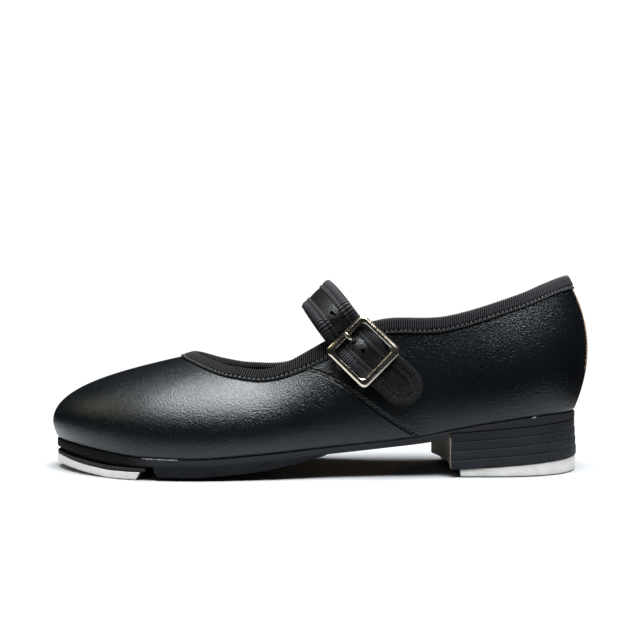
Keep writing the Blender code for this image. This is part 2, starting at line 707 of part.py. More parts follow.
def make_buckle_frame(route, metal):
    """A ring with softened edges, and a lug on each side that the bar ends in."""
    levels = [(0.5, FRAME_LOW), (0, FRAME_LOW + 0.45), (0, FRAME_HIGH - 0.7), (0.7, FRAME_HIGH)]
    outer = [rounded(FRAME_LONG - 2 * i, FRAME_WIDE - 2 * i, 2.6 - i) for i, _ in levels]
    hole_long, hole_wide = FRAME_LONG - 2 * FRAME_END, FRAME_WIDE - 2 * FRAME_SIDE
    inner = [rounded(hole_long + 2 * i, hole_wide + 2 * i, 1.4 + i) for i, _ in levels]
    rings = []
    for k in range(len(outer[0])):
        ring = [(*outer[j][k], levels[j][1]) for j in range(4)]
        ring += [(*inner[j][k], levels[j][1]) for j in range(3, -1, -1)]
        rings.append(in_buckle(route, ring))
    frame = swept("buckle_frame", rings, metal, closed=True)
    for side in (-1, 1):
        at = side * (FRAME_WIDE / 2 - FRAME_SIDE / 2 - 0.05)
        low, high = BAR_HEIGHT - BAR_RADIUS - 0.4, FRAME_LOW + 0.9
        corners = [(-1.3, -0.8), (1.3, -0.8), (1.3, 0.8), (-1.3, 0.8)]
        rings = [in_buckle(route, [(s, at + w, h) for s, w in corners]) for h in (low, high)]
        lug = swept(f"lug_{side}", rings, metal)
        lug.hide_render = True
        lug.display_type = "WIRE"
        place_on_bar(lug, route)
        joining = frame.modifiers.new("lug", "BOOLEAN")
        joining.object = lug
        joining.operation = "UNION"
    place_on_bar(frame, route)
    socket = swept("bar_socket", [ring_about_bar(route, w, BAR_RADIUS + 0.12)
                                  for w in (-BAR_REACH - 0.15, BAR_REACH + 0.15)], metal)
    socket.hide_render = True
    socket.display_type = "WIRE"
    place_on_bar(socket, route)
    cut(["buckle_frame"], socket)


def ring_about_bar(route, w, radius, sides=12):
    angles = [2 * math.pi * k / sides for k in range(sides)]
    return in_buckle(route, [(radius * math.cos(a), w, BAR_HEIGHT + radius * math.sin(a))
                             for a in angles])


def make_bar(route, metal):
    bar = swept("buckle_bar", [ring_about_bar(route, w, BAR_RADIUS)
                               for w in (-BAR_REACH, BAR_REACH)], metal)
    place_on_bar(bar, route)


def make_prong(route, metal):
    """A flat ring round the bar and a tongue that comes up through the strap."""
    half = 1.0
    inner, outer = BAR_RADIUS + 0.2, BAR_RADIUS + 0.8
    sides = 16
    rings = []
    for k in range(sides):
        a = 2 * math.pi * k / sides
        section = [(inner, -half), (outer, -half), (outer, half), (inner, half)]
        rings.append(in_buckle(route, [(r * math.cos(a), w, BAR_HEIGHT + r * math.sin(a))
                                       for r, w in section]))
    prong = swept("buckle_prong", rings, metal, closed=True)
    spine = np.array([(-1.25, BAR_HEIGHT - 0.4), (-2.6, 1.55), (-3.9, 1.6), (-5.0, 2.4), (-5.9, 3.9),
                      (-6.8, 5.5), (-7.9, 6.8), (-9.4, 7.1), (-10.9, 6.95)])
    rings = []
    for p in np.linspace(0, len(spine) - 1, 17):
        s, h = catmull(spine, p, False)
        ds, dh = catmull(spine, min(p + 0.1, 8), False) - catmull(spine, max(p - 0.1, 0), False)
        ns, nh = unit(np.array([-dh, ds]))
        taper = 1 - 0.25 * p / 8
        angles = [2 * math.pi * (k + 0.5) / 8 for k in range(8)]
        rings.append(in_buckle(route, [(s + ns * 0.55 * taper * math.sin(a),
                                        0.8 * taper * math.cos(a),
                                        h + nh * 0.55 * taper * math.sin(a)) for a in angles]))
    tongue = swept("tongue", rings, metal)
    tongue.hide_render = True
    tongue.display_type = "WIRE"
    place_on_bar(tongue, route)
    joining = prong.modifiers.new("tongue", "BOOLEAN")
    joining.object = tongue
    joining.operation = "UNION"
    place_on_bar(prong, route)


def make_chape(route, leather):
    """A hairpin of thin leather round the bar, slotted for the prong and sewn to the quarter."""
    thick, half = 0.5, 3.7
    radius = BAR_RADIUS + GAP + thick / 2
    legs = 12.0
    turn = [(-radius * math.sin(a), BAR_HEIGHT + radius * math.cos(a))
            for a in np.linspace(-0.35, math.pi + 0.1, 9)]
    centre = [(legs, 1.42), (7.5, 1.42), (3.6, 1.9)] + turn + [(3.6, 0.68), (7.5, 0.65), (legs, 0.65)]
    rings = []
    for k, (s, h) in enumerate(centre):
        before, after = centre[max(k - 1, 0)], centre[min(k + 1, len(centre) - 1)]
        ds, dh = unit(np.array([after[0] - before[0], after[1] - before[1]]))
        section = [(thick / 2, -half), (-thick / 2, -half), (-thick / 2, half), (thick / 2, half)]
        rings.append([tuple(route.above(s - dh * n, w, h + ds * n)) for n, w in section])
    chape = swept("buckle_chape", rings, leather)
    slot = [[tuple(route.fixed(s, w, h)) for s, w in [(-4, -1.35), (3.2, -1.35), (3.2, 1.35), (-4, 1.35)]]
            for h in (-1, 6)]
    cut(["buckle_chape"], joined_cutter("chape_slot", [slot], leather))
    return chape


# ---------------------------------------------------------------- assembly

def put_origin_at_base():
    """Moves everything so that the origin is at the middle of the shoe's underside."""
    bpy.context.view_layer.update()
    shown = [o for o in bpy.data.objects if o.type == "MESH" and not o.hide_render]
    corners = np.array([o.matrix_world @ v.co for o in shown for v in o.data.vertices])
    low, high = corners.min(axis=0), corners.max(axis=0)
    shift = Vector((-(low[0] + high[0]) / 2, -(low[1] + high[1]) / 2, -low[2]))
    for made in bpy.data.objects:
        if made.parent is None:
            made.location = made.location + shift
    return shift


def main():
    for old in list(bpy.data.objects):
        bpy.data.objects.remove(old)
    leather = material("upper_leather", (0.012, 0.012, 0.013), 0.42)
    lining = material("lining_fabric", (0.03, 0.03, 0.032), 0.9)
    stiff = material("stiffener_board", (0.45, 0.38, 0.28), 0.9)
    tape = material("grosgrain_tape", (0.02, 0.02, 0.022), 0.8)
    rubber = material("sole_rubber", (0.02, 0.021, 0.022), 0.65)
    fibre = material("tap_fibreboard", (0.06, 0.06, 0.06), 0.7)
    cork = material("filler_cork", (0.35, 0.22, 0.12), 0.95)
    steel = material("shank_steel", (0.5, 0.5, 0.52), 0.4, 1.0)
    felt = material("sock_lining", (0.04, 0.04, 0.043), 0.9)
    stack = material("heel_stack", (0.022, 0.023, 0.025), 0.6)
    tap_metal = material("tap_aluminium", (0.75, 0.75, 0.73), 0.35, 1.0)
    screw_steel = material("screw_steel", (0.55, 0.55, 0.55), 0.35, 1.0)
    buckle_metal = material("buckle_nickel", (0.62, 0.58, 0.52), 0.2, 1.0)

    make_upper(leather, lining, stiff, tape)
    make_sole(rubber, fibre, tap_metal, cork, steel, felt)
    make_heel(stack, tap_metal)
    holes = joined_cutter("fastener_holes", make_fasteners(screw_steel, steel), steel)
    cut(["toe_tap", "toe_tap_board", "toe_tap_spacer", "outsole", "insole_board", "heel_tap"]
        + [f"heel_lift_{n + 1}" for n in range(LIFTS)], holes)

    route = StrapRoute()
    make_strap(route, leather, tape)
    cut(["strap_leather"], joined_cutter("strap_holes", strap_hole_cutters(route), leather))
    make_buckle_frame(route, buckle_metal)
    make_bar(route, buckle_metal)
    make_prong(route, buckle_metal)
    make_chape(route, leather)
    put_origin_at_base()


main()
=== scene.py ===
"""Looks for a one-strap tap shoe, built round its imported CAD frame.

The toe points to -X, the outer side of the foot faces -Y and up is +Z. Shapes are worked out
in the CAD part's own millimetres, and moved to the frame in metres as each mesh is made.
"""

import json
import math

import bmesh
import bpy
import numpy as np
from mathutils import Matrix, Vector
from mathutils.bvhtree import BVHTree
from mathutils.geometry import delaunay_2d_cdt


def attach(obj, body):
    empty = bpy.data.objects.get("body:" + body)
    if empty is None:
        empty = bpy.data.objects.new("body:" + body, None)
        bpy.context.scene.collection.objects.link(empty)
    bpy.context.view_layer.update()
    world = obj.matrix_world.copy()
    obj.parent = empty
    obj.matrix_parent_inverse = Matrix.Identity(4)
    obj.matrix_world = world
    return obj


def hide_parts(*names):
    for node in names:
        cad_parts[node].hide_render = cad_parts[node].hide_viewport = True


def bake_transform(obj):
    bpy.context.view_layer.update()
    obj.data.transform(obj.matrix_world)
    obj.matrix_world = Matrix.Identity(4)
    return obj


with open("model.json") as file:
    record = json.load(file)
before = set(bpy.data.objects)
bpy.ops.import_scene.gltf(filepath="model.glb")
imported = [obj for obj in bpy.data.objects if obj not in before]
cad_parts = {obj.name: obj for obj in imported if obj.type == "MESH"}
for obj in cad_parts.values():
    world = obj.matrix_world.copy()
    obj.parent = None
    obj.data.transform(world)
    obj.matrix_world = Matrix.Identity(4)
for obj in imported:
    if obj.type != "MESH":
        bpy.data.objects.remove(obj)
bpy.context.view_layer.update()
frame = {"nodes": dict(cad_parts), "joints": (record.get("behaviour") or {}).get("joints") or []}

GAP = 0.25

# The CAD part's own measures, in millimetres; part.py says what each one is.
TOE_SOLE, WAIST_SOLE, BREAST_EXTRA = 3.4, 2.6, 0.5
TAP_BOARD, TOE_TAP = 1.7, 3.3
BOARD, BOARD_RISE, SOCK = 1.8, 1.5, 1.0
TOE_TAP_REAR, TAP_BOARD_REAR, SPACER_REAR = -78.0, -75.5, -83.0
TREAD_FRONT, TREAD_REAR = -72.3, 3.0
BREAST_OUTER, BREAST_INNER, BREAST_HOLLOW = 57.5, 54.0, 2.5  # the heel's front
LIFTS, LIFT_FLARE = 4, 0.25
HEEL_BASE, HEEL_BASE_RISE = 3.3, 0.066
HEEL_SEAT, HEEL_SEAT_RISE = 19.0, 0.08
HEEL_TAP_SETBACK = 4.0
LEATHER, LINING, STIFFENER = 1.1, 0.7, 0.9
STRAP_WIDTH, STRAP_LEATHER, STRAP_TAIL = 17.8, 1.2, 31.0
HOLES = (-21.0, -14.0, 0.0)
FRAME_LONG, FRAME_WIDE, FRAME_END, FRAME_SIDE = 24.2, 23.6, 2.5, 2.2
FRAME_LOW, BAR_RADIUS, BAR_HEIGHT = 4.15, 0.8, 2.1
BAR_REACH = FRAME_WIDE / 2 - FRAME_SIDE / 2 + 0.4

SOLE_TOP = [(-123, 13.3), (-109, 12.3), (-95, 10.9), (-77, 9.3), (-55, 8.8), (-30, 10.2), (0, 12.9),
            (26, 15.3), (44, 17.6), (57, 20.0), (75, 23.2), (90, 25.3), (105, 26.6), (118, 27.0)]
TREAD_BASE = [(-73, 1.0), (-56, 1.0), (-43, 1.7), (-30, 2.9), (-13, 5.8), (-4, 8.2), (3, 10.2)]
TAP_BASE = [(-123, 2.7), (-110, 1.5), (-100, 0.6), (-92, 0.0), (-78, 0.0)]
# feather x and y; topline x, y and z; how far the skin bulges low and high
LAST = np.array([
    (117, -3, 114, -2, 88.0, 9, 12),
    (108, -20, 106, -12, 86.0, 9, 11),
    (88, -28.5, 88, -22, 79.3, 7, 7),
    (56, -29.5, 56, -26, 70.0, 5, 4),
    (25, -31, 27, -27.5, 68.6, 5, 2.5),
    (0, -34, 4, -26, 59.6, 6, 3),
    (-28, -38.5, -20, -24.5, 47.2, 6, 8),
    (-55, -40.5, -37, -22.5, 47.2, 7, 10),
    (-80, -37, -47, -16.5, 49.2, 8, 15),
    (-99, -26.5, -54, -9, 51.4, 9.5, 21),
    (-114, -12, -57.5, -3, 52.4, 12, 27),
    (-122.5, 4, -58.5, 2, 52.6, 13.6, 30),
    (-119, 18, -57.5, 6.5, 52.4, 12, 27),
    (-105, 31, -54, 12.5, 51.2, 9.5, 21),
    (-80, 39, -46, 18.5, 48.6, 8, 15),
    (-45, 41, -33, 23.5, 46.4, 7, 12),
    (-12, 33, -14, 26, 47.2, 6, 7),
    (15, 24.5, 6, 27, 58.1, 9, 4),
    (38, 21.5, 30, 28, 66.1, 9, 5),
    (62, 23, 58, 26.5, 67.4, 8, 6),
    (90, 24, 88, 22, 76.0, 9, 8),
    (108, 14, 106, 12, 84.2, 9, 10),
], float)
AROUND = len(LAST)
TOE_MERIDIAN = 11.2
STRAP_ON_QUARTER = [(44.8, 32.2), (32.2, 43.6), (19.3, 54.9), (11.5, 63.6)]
STRAP_OVER_INSTEP = [(6.6, -28.45, 70.2), (2.8, -20.5, 75.2), (0.7, -10.5, 77.7), (0.2, -1, 78.2),
                     (1.2, 8, 77.0), (4, 14.5, 73.5), (8.5, 17.9, 68), (13.5, 19, 61.5),
                     (19, 19.3, 54.5)]
# how the strap's width leans at each knot of its way, in degrees from upright, and sideways
STRAP_LEAN = [44, 45, 46, 50, 51, 49, 46, 45, 45, 46, 47, 47, 47]
STRAP_TILT = [0.06, 0.05, 0.04, 0.012, 0.04, 0.04, 0, 0, 0, 0, -0.05, -0.1, -0.1]

# The finer things that only the looks have.
RIB, STRAP_RIB = 1.0, 0.85       # pitch of the grosgrain's ribs, round the topline and on the strap
RIB_LIFT, STRAP_RIB_LIFT = 0.36, 0.22  # how high a rib stands
TREAD_BARS = 1.85                # pitch of the tread's bars
STITCH, STRAP_STITCH = 2.1, 2.3  # pitch of the seams' stitches and the strap's
TAPE_SEAM, STRAP_SEAM = 4.95, 3.67  # how far the tapes' stitch rows lie from the tapes' edge
UNDERLAP = 1.4                   # how far the vamp runs on under the quarter
SEAM_ROW = 1.35                  # how far the seam's stitch row lies behind the quarter's edge
SEAM_LOOK = ((3.41, 2.26, 0.20), (18.1, -2.3, 0.3))  # the quarter's edges, outer and inner
QUARTER_PULL, QUARTER_REACH = 0.30, 9  # how the quarter's grid is drawn to its front edge
NEEDLE_HOLE_SHADE = 0.9                     # how much painted shade darkens the needle holes, from 0 to 1
HOLE, HOLE_SHADE = 1.0, 1.1       # radius of the strap's holes and of the dark discs of painted shade inside them

# The set, in metres. The camera's place is counted from the part's own origin.
FLOOR = ((-0.20, -0.085), (0.17, 0.16))
CAMERA, LENS, CAMERA_SHIFT = (0, -0.540, 0.084), 65.30625, -0.053125
WORLD_LIGHT, BACKDROP_LIGHT = 0.02, 1.05
SUN = (8.8, math.radians(48))
SUN_FROM = (0.08, -0.15, 1)
# place, width and height, watts, colour
LIGHTS = [
    ("key_panel", (-0.50, -0.62, 0.95), (0.30, 0.30), 1.0, (1.0, 0.99, 0.97)),
    ("warm_edge", (0.40, 0.60, 0.12), (0.10, 0.25), 0.35, (1.0, 0.66, 0.38)),
    ("toe_glow", (-0.75, 0.05, 0.62), (0.25, 0.25), 0.8, (1.0, 0.95, 0.62)),
]


# ---------------------------------------------------------------- curves

def through(knots, x):
    """Smooth heights through (x, z) knots that never overshoot them, level past both ends."""
    xs, zs = (np.array(c, float) for c in zip(*knots))
    rates = np.diff(zs) / np.diff(xs)
    before, after = rates[:-1], rates[1:]
    steady = before * after > 0
    inner = np.where(steady, 2 * before * after / np.where(steady, before + after, 1), 0)
    slopes = np.concatenate([rates[:1], inner, rates[-1:]])
    x = np.clip(np.asarray(x, float), xs[0], xs[-1])
    i = np.minimum(np.searchsorted(xs, x, side="right") - 1, len(xs) - 2)
    width = xs[i + 1] - xs[i]
    t = (x - xs[i]) / width
    return (zs[i] * (2 * t**3 - 3 * t**2 + 1) + slopes[i] * width * (t**3 - 2 * t**2 + t)
            + zs[i + 1] * (3 * t**2 - 2 * t**3) + slopes[i + 1] * width * (t**3 - t**2))


def catmull(rows, u, closed):
    """The rows at positions u of a smooth curve through all rows."""
    count = len(rows)
    u = np.atleast_1d(np.asarray(u, float))
    i = np.floor(u).astype(int)
    if not closed:
        i = np.clip(i, 0, count - 2)
    t = (u - i)[:, None]
    wrap = (lambda k: k % count) if closed else (lambda k: np.clip(k, 0, count - 1))
    a, b, c, d = (rows[wrap(i + k)] for k in (-1, 0, 1, 2))
    return 0.5 * (2 * b + (c - a) * t + (2 * a - 5 * b + 4 * c - d) * t**2
                  + (3 * b - a - 3 * c + d) * t**3)


def fade(value, low, high):
    """0 below low, 1 above high, smooth between."""
    t = np.clip((np.asarray(value, float) - low) / (high - low), 0, 1)
    return t * t * (3 - 2 * t)


def unit(v):
    return v / np.maximum(np.linalg.norm(v, axis=-1, keepdims=True), 1e-12)


def run_of(line):
    """Distance along a line of points."""
    return np.concatenate([[0], np.cumsum(np.linalg.norm(np.diff(line, axis=0), axis=1))])


def circle(count):
    """Cosines and sines of evenly spaced angles."""
    angles = np.arange(count) * 2 * math.pi / count
    return np.cos(angles), np.sin(angles)


def crests(turns, power):
    """A wave from 0 to 1, one crest to a turn: narrow crests with a high power, broad with a low."""
    return (0.5 + 0.5 * np.cos(2 * math.pi * turns))**power


# ---------------------------------------------------------------- the last

def sole_top(x):
    return through(SOLE_TOP, x)


def feather(u):
    at = catmull(LAST, u, True)[:, :2]
    return np.column_stack([at, sole_top(at[:, 0]) + GAP])


def outward(u):
    step = (feather(u + 0.05) - feather(u - 0.05))[:, :2]
    return unit(np.column_stack([-step[:, 1], step[:, 0], np.zeros(len(step))]))


class Last:
    """The upper's outer face as a fine grid: u runs round the shoe, s from feather to topline."""
    STEP, ACROSS = 0.02, 121

    def __init__(self):
        us = np.arange(0, AROUND, self.STEP)
        rows, low, out = catmull(LAST, us, True), feather(us), outward(us)
        high = rows[:, 2:5]
        level = (low - high) * (1, 1, 0)
        lean = np.minimum(np.linalg.norm(level, axis=1, keepdims=True) / 40, 1)
        top_out = unit(out * (1 - lean) + unit(level) * lean)
        up = np.array([0, 0, 1.0])
        rise = (high - low)[:, 2:3]
        handle_low = low + out * rows[:, 5:6] + up * rise * (0.32 + 0.27 * lean)
        handle_high = high + top_out * rows[:, 6:7] - up * rise * (0.34 - 0.16 * lean)
        t = np.linspace(0, 1, 161)[:, None]
        grid, self.length = [], []
        for a, b, c, d in zip(low, handle_low, handle_high, high):
            line = (1 - t)**3 * a + 3 * (1 - t)**2 * t * b + 3 * (1 - t) * t**2 * c + t**3 * d
            run = run_of(line)
            even = np.linspace(0, run[-1], self.ACROSS)
            grid.append(np.stack([np.interp(even, run, line[:, k]) for k in range(3)], axis=1))
            self.length.append(run[-1])
        self.length = np.array(self.length)
        self.points = np.array(grid)
        along = np.roll(self.points, -3, axis=0) - np.roll(self.points, 3, axis=0)
        rises = np.gradient(self.points, axis=1)
        self.normals = unit(np.cross(rises, along))

    def _read(self, table, u, s):
        a = (u % AROUND) / self.STEP
        i, b = np.floor(a).astype(int), np.clip(s, 0, 1) * (self.ACROSS - 1)
        j = np.minimum(np.floor(b).astype(int), self.ACROSS - 2)
        p, q = (a - i)[..., None], (b - j)[..., None]
        n = len(table)
        i, k = i % n, (i + 1) % n
        return ((1 - p) * (1 - q) * table[i, j] + p * (1 - q) * table[k, j]
                + (1 - p) * q * table[i, j + 1] + p * q * table[k, j + 1])

    def skin(self, u, s, h=0.0):
        """Points h outward of the upper's outer face."""
        u, s, h = np.broadcast_arrays(*(np.asarray(v, float) for v in (u, s, h)))
        at = self._read(self.points, u, s)
        over = np.maximum(s - 1, 0)[..., None] * (self.ACROSS - 1)
        step = self._read(self.points, u, np.ones_like(s)) - self._read(
            self.points, u, np.full_like(s, 1 - 1 / (self.ACROSS - 1)))
        normal = unit(self._read(self.normals, u, np.clip(s, 0.03, 0.97)))
        return at + step * over + normal * h[..., None]

    def normal(self, u, s):
        return unit(self._read(self.normals, np.asarray(u, float), np.clip(s, 0.03, 0.97)))

    def length_at(self, u):
        return np.interp(u % AROUND, np.arange(len(self.length) + 1) * self.STEP,
                         np.append(self.length, self.length[0]))


last = Last()


# ---------------------------------------------------------------- the strap's route

class StrapRoute:
    """The strap's way from tail to root: s is 0 at the buckle and negative towards the root."""
    FINE = 40

    def __init__(self):
        us, heights = np.linspace(0.5, 8, 46), np.linspace(0, 1.3, 27)
        n = len(heights)
        points = [Vector(p) for u in us for p in last.skin(np.full(n, u), heights)]
        faces = [(i * n + j, i * n + j + 1, (i + 1) * n + j + 1, (i + 1) * n + j)
                 for i in range(len(us) - 1) for j in range(n - 1)]
        wall = BVHTree.FromPolygons(points, faces)
        inward = Vector((0, 1, 0))
        hits = [wall.ray_cast(Vector((x, -90, z)), inward)[0] for x, z in STRAP_ON_QUARTER]
        knots = np.array([tuple(h) for h in hits] + STRAP_OVER_INSTEP)
        leans = np.radians(np.array(STRAP_LEAN, float))
        widths = np.stack([np.sin(leans), STRAP_TILT, np.cos(leans)], axis=1)
        rows = np.hstack([knots, widths])
        line = catmull(rows, np.linspace(0, len(rows) - 1, self.FINE * (len(rows) - 1) + 1), False)
        run = run_of(line[:, :3])
        self.line, self.s = line[::-1], (run[2 * self.FINE] - run)[::-1]
        self.tip, self.root = self.s[-1], self.s[0]

    def _read(self, s, first, end):
        return np.stack([np.interp(s, self.s, self.line[:, k]) for k in range(first, end)], axis=-1)

    def frame(self, s):
        """Unit vectors along the strap towards its tail, across it, and out of its face."""
        s = np.asarray(s, float)
        inside = np.minimum(s, self.tip - 2)
        along = unit(self._read(np.minimum(inside + 1.5, self.tip), 0, 3)
                     - self._read(np.maximum(inside - 1.5, self.root), 0, 3))
        wide = self._read(s, 3, 6)
        wide = unit(wide - along * (wide * along).sum(-1, keepdims=True))
        return along, wide, np.cross(along, wide)

    def lift(self, s):
        """How high the strap's middle lies over the quarter: most of all over the buckle's bar."""
        s = np.asarray(s, float)
        over_bar = 2.1 * (0.5 + 0.5 * np.cos(math.pi * np.minimum(abs(s), 8.6) / 8.6))
        return 2.55 + over_bar - 0.85 * fade(s, 13, 22) + 0.5 * fade(-s, 11.5, 16)

    def above(self, s, w, h):
        s, w, h = np.broadcast_arrays(*(np.asarray(v, float) for v in (s, w, h)))
        along, wide, out = self.frame(s)
        base = self._read(s, 0, 3) + along * np.maximum(s - self.tip, 0)[..., None]
        return base + wide * w[..., None] + out * h[..., None]

    def point(self, s, w, h):
        return self.above(s, w, self.lift(s) + h)

    def fixed(self, s, w, h):
        """A place in the buckle's own flat frame."""
        along, wide, out = self.frame(0.0)
        s, w, h = (np.asarray(v, float)[..., None] for v in (s, w, h))
        return self._read(0.0, 0, 3) + along * s + wide * w + out * h


route = StrapRoute()
bar_joint = next(j for j in frame["joints"] if j["name"] == "buckle_tilt")
SHIFT = np.array(bar_joint["pos_m"]) - route.fixed(0, 0, BAR_HEIGHT) / 1000


# ---------------------------------------------------------------- finishes

class Finish:
    """A procedural material. Its scales are in millimetres of the object."""

    def __init__(self, name, colour, roughness, metallic=0.0, **fixed):
        self.material = bpy.data.materials.new(name)
        self.material.use_nodes = True
        self.tree = self.material.node_tree
        self.shader = self.tree.nodes["Principled BSDF"]
        self.shader.inputs["Base Color"].default_value = (*colour, 1)
        self.shader.inputs["Roughness"].default_value = roughness
        self.shader.inputs["Metallic"].default_value = metallic
        for socket, value in fixed.items():
            self.shader.inputs[socket.replace("_", " ")].default_value = value
        self.place = self.tree.nodes.new("ShaderNodeTexCoord").outputs["Object"]

    def node(self, kind, *links, **settings):
        made = self.tree.nodes.new(kind)
        for key, value in settings.items():
            if hasattr(made, key):
                setattr(made, key, value)
            else:
                made.inputs[key.replace("_", " ")].default_value = value
        for socket, source in links:
            self.tree.links.new(source, made.inputs[socket])
        return made

    def mapped(self, stretch):
        if stretch == (1, 1, 1):
            return self.place
        return self.node("ShaderNodeMapping", ("Vector", self.place), Scale=stretch).outputs["Vector"]

    def noise(self, size, detail=3.0, stretch=(1, 1, 1), roughness=0.5):
        return self.node("ShaderNodeTexNoise", ("Vector", self.mapped(stretch)), Scale=1000 / size,
                         Detail=detail, Roughness=roughness).outputs["Fac"]

    def cells(self, size, stretch=(1, 1, 1)):
        return self.node("ShaderNodeTexVoronoi", ("Vector", self.mapped(stretch)),
                         Scale=1000 / size).outputs["Distance"]

    def ranged(self, value, low, high, to_low, to_high):
        return self.node("ShaderNodeMapRange", ("Value", value), From_Min=low, From_Max=high,
                         To_Min=to_low, To_Max=to_high).outputs["Result"]

    def maths(self, operation, a, b):
        made = self.node("ShaderNodeMath", operation=operation)
        for index, value in enumerate((a, b)):
            if isinstance(value, (int, float)):
                made.inputs[index].default_value = value
            else:
                self.tree.links.new(value, made.inputs[index])
        return made.outputs[0]

    def tinted(self, value, first, second, low=0.35, high=0.65):
        """Base colour that runs from first to second as value goes from low to high."""
        ramp = self.node("ShaderNodeValToRGB", ("Fac", value))
        ramp.color_ramp.elements[0].position = low
        ramp.color_ramp.elements[1].position = high
        ramp.color_ramp.elements[0].color = (*first, 1)
        ramp.color_ramp.elements[1].color = (*second, 1)
        self.tree.links.new(ramp.outputs["Color"], self.shader.inputs["Base Color"])
        return self

    def rough(self, value, smooth, dull, low=0.35, high=0.65):
        """Roughness that runs from smooth to dull as value goes from low to high."""
        result = self.ranged(value, low, high, smooth, dull)
        self.tree.links.new(result, self.shader.inputs["Roughness"])
        return self

    def bumped(self, value, height, strength=1.0):
        """Adds relief of that height in millimetres over any relief given before."""
        made = self.node("ShaderNodeBump", ("Height", value), Distance=height / 1000, Strength=strength)
        before = self.shader.inputs["Normal"].links
        if before:
            self.tree.links.new(before[0].from_socket, made.inputs["Normal"])
        self.tree.links.new(made.outputs["Normal"], self.shader.inputs["Normal"])
        return self


def smooth_leather(name, colour, worn, roughness):
    """Leather with broad wear and two sizes of fine grain."""
    made = Finish(name, colour, roughness, Specular_IOR_Level=0.5, Specular_Tint=(0.90, 0.965, 1, 1))
    broad, pebble, fine = made.noise(28, 3), made.noise(0.9, 2), made.noise(0.52, 2)
    made.tinted(broad, colour, worn)
    made.rough(made.noise(16, 2), roughness - 0.01, roughness + 0.02, 0.2, 0.8)
    made.bumped(pebble, 0.155, 1.0)
    return made.bumped(fine, 0.19, 1.0)


def woven(name, colour, light, size):
    """Cloth: two crossing sets of threads and a little fuzz."""
    made = Finish(name, colour, 0.9, Specular_IOR_Level=0.25, Sheen_Weight=0.3, Sheen_Roughness=0.5)
    weave = made.maths("MULTIPLY", made.cells(size, stretch=(1, 0.45, 1)),
                       made.cells(size, stretch=(0.45, 1, 0.45)))
    made.tinted(made.noise(size * 1.3, 3), colour, light)
    made.bumped(weave, 0.12, 0.8)
    return made.bumped(made.noise(size * 0.4, 2), 0.05, 0.5)


def tape_cloth(name, colour, light):
    """Grosgrain: its ribs are in the mesh, and this adds the threads and their lustre, and painted
    shade: dark valleys between the ribs, and darker stretches wherever the crest numbers are lowered."""
    made = Finish(name, colour, 0.5, Specular_IOR_Level=0.12)
    crest = made.node("ShaderNodeAttribute", attribute_name="crest").outputs["Fac"]
    fuzzy = made.maths("ADD", crest, made.maths("MULTIPLY", made.noise(0.7, 4), 0.5))
    # painted shade: low crest numbers give the dark colour of the valleys, needle holes and shaded stretches
    made.tinted(fuzzy, colour, light, 0.5, 1.35)
    made.rough(crest, 0.95, 0.38, 0.2, 0.85)
    return made.bumped(made.noise(0.22, 3), 0.05, 0.7)


def thread(name, colour, light):
    made = Finish(name, colour, 0.55, Sheen_Weight=0.2, Sheen_Roughness=0.4)
    made.tinted(made.noise(0.5, 3), colour, light)
    return made.bumped(made.noise(0.16, 2), 0.04, 0.8)


def rubber(name, colour, dusty, roughness, grain=0.45):
    made = Finish(name, colour, roughness, Specular_IOR_Level=0.2)
    made.tinted(made.noise(14, 5, roughness=0.65), colour, dusty)
    made.rough(made.noise(3, 4), roughness - 0.07, roughness + 0.08)
    made.bumped(made.noise(grain, 4), 0.05, 0.55)
    return made.bumped(made.cells(grain * 2.2), 0.03, 0.35)


def sole_side(name, toe, rear):
    """The outsole's rubber: darker at the toe, lighter behind the tap."""
    made = Finish(name, rear, 0.75, Specular_IOR_Level=0.12)
    along = made.node("ShaderNodeSeparateXYZ", ("Vector", made.place)).outputs["X"]
    uneven = made.maths("MULTIPLY", made.noise(9, 5), 0.2)
    spread = made.maths("ADD", made.ranged(along, -0.084, -0.070, 0, 0.9), uneven)
    made.tinted(spread, toe, rear, 0.1, 0.9)
    return made.bumped(made.noise(0.45, 4), 0.05, 0.55)


def board(name, colour, light, size=0.7):
    made = Finish(name, colour, 0.85, Specular_IOR_Level=0.3)
    made.tinted(made.noise(size, 5, stretch=(1, 1, 4)), colour, light)
    return made.bumped(made.noise(size * 0.5, 4, stretch=(1, 1, 3)), 0.08, 0.6)


def metal(name, colour, light, roughness, brush=0.25, stretch=(0.05, 1, 1), metallic=1.0):
    """Metal with fine brush lines and soft wear blotches."""
    made = Finish(name, colour, roughness, metallic=metallic)
    lines = made.noise(brush, 3, stretch=stretch)
    blotch = made.noise(7, 4)
    made.tinted(blotch, colour, light)
    worn = made.maths("ADD", made.maths("MULTIPLY", blotch, 0.6), made.maths("MULTIPLY", lines, 0.4))
    made.rough(worn, roughness - 0.07, roughness + 0.14)
    return made.bumped(lines, 0.012, 0.5)


